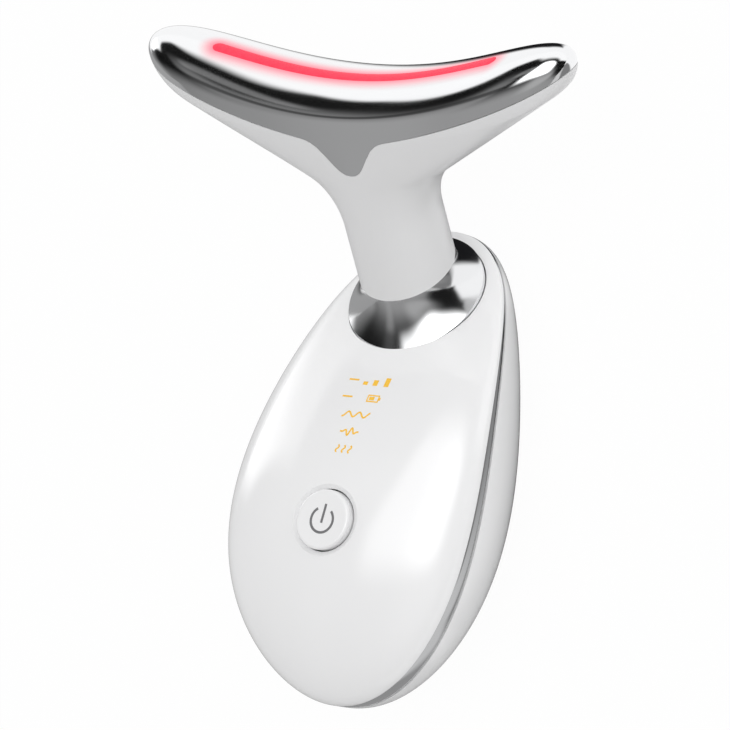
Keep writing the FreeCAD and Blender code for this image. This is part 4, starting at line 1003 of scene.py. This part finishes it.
def studio_floor():
    """A white floor that keeps a faint shadow; mirrors see it white behind the object and grey before it.

    What mirrors see is a pattern by place on the floor, in metres.
    """
    material = bpy.data.materials.new("studio_floor")
    tree = Tree(material)
    place = tree.add("ShaderNodeNewGeometry")["Position"]
    path = tree.add("ShaderNodeLightPath")
    glossy = path["Is Glossy Ray"]
    seen = (0.96 * path["Is Camera Ray"] + glossy + path["Is Transmission Ray"]).at_most(1.0)
    x, y = tree.dot(place, (1, 0, 0)), tree.dot(place, (0, 1, 0))
    # White: far left, right of the collar, and all that lies behind the head
    left = (1 - x.fade(-0.034, -0.014)) * y.fade(0.084, 0.112)
    right = x.fade(0.011, 0.021) * (y - 0.35 * x).fade(0.022, 0.038)
    lit_part = left.at_least(right).at_least(y.fade(0.14, 0.2))
    # Grey: left of the handle, before its tail, and beside it, lighter towards the tail
    near = (0.35 * (1 - x.fade(-0.05, -0.03))).at_least(0.3 * (0 - y).fade(0.0, 0.05))
    to_tail = 0.06 * (1 - y.fade(0.02, 0.05)) + 0.34 * (1 - y.fade(-0.045, 0.02))
    beside = 0.2 + to_tail * (1 - x.fade(0.06, 0.09))
    corner = 0.6 * x.fade(0.008, 0.03) * (1 - y.fade(-0.05, -0.03))
    near = near.at_least(beside * x.fade(0.025, 0.04)).at_least(corner)
    mirrored = tree.mix(lit_part.at_least(near), rgb(0.01, 0.01, 0.011), rgb(1, 1, 1))
    colour = tree.mix(glossy, rgb(1, 1, 1), mirrored)
    paper = tree.add("ShaderNodeBsdfDiffuse", {}, {"Color": rgb(0.85, 0.85, 0.85)})
    light = tree.add("ShaderNodeEmission", {}, {"Color": colour, "Strength": 1.0})
    shader = tree.add("ShaderNodeMixShader", {}, {0: seen, 1: paper, 2: light})
    tree.add("ShaderNodeOutputMaterial", {}, {"Surface": shader})
    reach = 3.0
    corners = np.array([[-reach, -reach, 0], [reach, -reach, 0], [reach, reach, 0], [-reach, reach, 0]])
    mesh = bpy.data.meshes.new("floor")
    mesh.from_pydata(corners.tolist(), [], [(0, 1, 2, 3)])
    mesh.materials.append(material)
    floor = bpy.data.objects.new("floor", mesh)
    bpy.context.scene.collection.objects.link(floor)


def soft_lamp(name, place, aim, width, height, power):
    """A rectangular soft box at a place, turned towards a point."""
    data = bpy.data.lights.new(name, "AREA")
    data.shape = "RECTANGLE"
    data.size = width
    data.size_y = height
    data.energy = power
    lamp = bpy.data.objects.new(name, data)
    back = np.array(place, float) - np.array(aim, float)
    back /= np.linalg.norm(back)
    right = np.cross((0, 0, 1) if abs(back[2]) < 0.95 else (0, 1, 0), back)
    right /= np.linalg.norm(right)
    up = np.cross(back, right)
    turn = np.eye(4)
    turn[:3, 0], turn[:3, 1], turn[:3, 2], turn[:3, 3] = right, up, back, place
    lamp.matrix_world = Matrix(turn.tolist())
    lamp.visible_glossy = False
    bpy.context.scene.collection.objects.link(lamp)


def studio_world():
    """Even light for matt surfaces; mirrors see a studio, given as levels by direction.

    It has a white wall behind, a long ceiling box, grey in front and at the far left, and a dim card.
    """
    world = bpy.data.worlds.new("studio")
    bpy.context.scene.world = world
    tree = Tree(world)
    direction = tree.add("ShaderNodeTexCoord")["Generated"]
    path = tree.add("ShaderNodeLightPath")
    x, y, z = (tree.dot(direction, axis) for axis in ((1, 0, 0), (0, 1, 0), (0, 0, 1)))
    # White wall behind: its top edge climbs at the far left and is soft in the middle, its right end slants
    lift = 1 - x.fade(-0.77, -0.64)
    soft = x.fade(-0.5, -0.28)
    hard = 0.06 * x.fade(0.0, 0.3)
    wall_top = z.fade(0.26 + 0.1 * soft + 0.22 * lift, 0.38 + 0.24 * soft + 0.26 * lift - hard)
    wall_slant = 0.32 + 0.9 * (z - 0.1).at_least(0.0)
    wall_start = x.at_least(0.0) * wall_slant + 0.2 * lift * z.fade(0.2, 0.45)
    wall_side = (y - wall_start).fade(0.12, 0.3)
    wall = wall_side * (1 - wall_top) * (1.03 + 1.2 * (1 - x.fade(-0.88, -0.74)))
    # Ceiling box: its left edge leans, and it is brighter to the right
    left_edge = x - 0.28 * (y - 0.2).at_least(0.0)
    across = left_edge.fade(-0.36, -0.24) * (1 - x.fade(0.38, 0.82)) ** 2
    along = y.fade(-0.28, 0.08) * (1 - y.fade(0.72, 0.85))
    ceiling = across * along * z.fade(0.6, 0.78) * (2.0 + 1.6 * x.fade(-0.1, 0.3))
    # Grey in front, growing lighter towards the viewer; high on the left it starts further back
    to_right = x.fade(-0.1, 0.3) * z.fade(0.3, 0.6)
    low_front = (0.3 * to_right - y).fade(0.0, 0.9) * (0.3 + 0.1 * to_right)
    dip = 1 - 0.75 * (1 - abs(y + 0.12).fade(0.05, 0.2))
    high_front = 0.17 * dip * (0 - y).fade(-0.62, -0.05) + 0.16 * (0 - y).fade(-0.1, 0.9)
    middle = x.fade(-0.66, -0.54) * (1 - x.fade(-0.48, -0.38))
    front = (low_front + middle * (high_front - low_front)) * (1 - x.fade(0.7, 0.95))
    # Grey at the far left, and a dim card high up behind
    side = (1 - x.fade(-0.97, -0.84)) * (1 - z.fade(0.0, 0.5))
    behind = (1 - abs(y - 0.46).fade(0.08, 0.2)) * z.fade(0.68, 0.8)
    card = x.fade(-0.54, -0.46) * (1 - x.fade(-0.3, -0.2)) * behind
    level = 0.006 + wall.at_least(ceiling) + front + 0.22 * side + 0.16 * card
    studio = tree.add("ShaderNodeCombineColor", {}, {0: level, 1: level, 2: level})
    even = 0.7 + 0.07 * x + 0.1 * y
    ambient = tree.add("ShaderNodeCombineColor", {}, {0: even, 1: even, 2: even})
    colour = tree.mix(path["Is Glossy Ray"], ambient, studio)
    shown = tree.mix(path["Is Camera Ray"], colour, rgb(1, 1, 1))
    light = tree.add("ShaderNodeBackground", {}, {"Color": shown, "Strength": 1.0})
    tree.add("ShaderNodeOutputWorld", {}, {"Surface": light})


def camera():
    """The photograph's view: a long lens from high on the right."""
    data = bpy.data.cameras.new("camera")
    data.sensor_width = 36.0
    data.lens = 202.855
    data.clip_end = 20.0
    eye = bpy.data.objects.new("camera", data)
    turn = np.eye(4)
    turn[:3, 0] = 0.83716, 0.1502, -0.52593
    turn[:3, 1] = -0.08309, 0.98532, 0.14915
    turn[:3, 2] = 0.54061, -0.08116, 0.83735
    turn[:3, 3] = np.array([425.68, -50.85, 690.27]) * MM
    eye.matrix_world = Matrix(turn.tolist())
    bpy.context.scene.collection.objects.link(eye)
    bpy.context.scene.camera = eye


studio_floor()
soft_lamp("ceiling_box", (0.25, 0.0, 1.2), (0.0, 0.0, 0.0), 1.0, 0.8, 4.6)
soft_lamp("left_box", (-1.2, 0.1, 0.3), (0.0, 0.0, 0.02), 1.2, 0.4, 2.3)
soft_lamp("right_box", (0.9, 0.5, 0.3), (0.0, 0.0, 0.02), 0.8, 0.5, 1.2)
studio_world()
camera()
bpy.context.scene.view_settings.view_transform = "Standard"
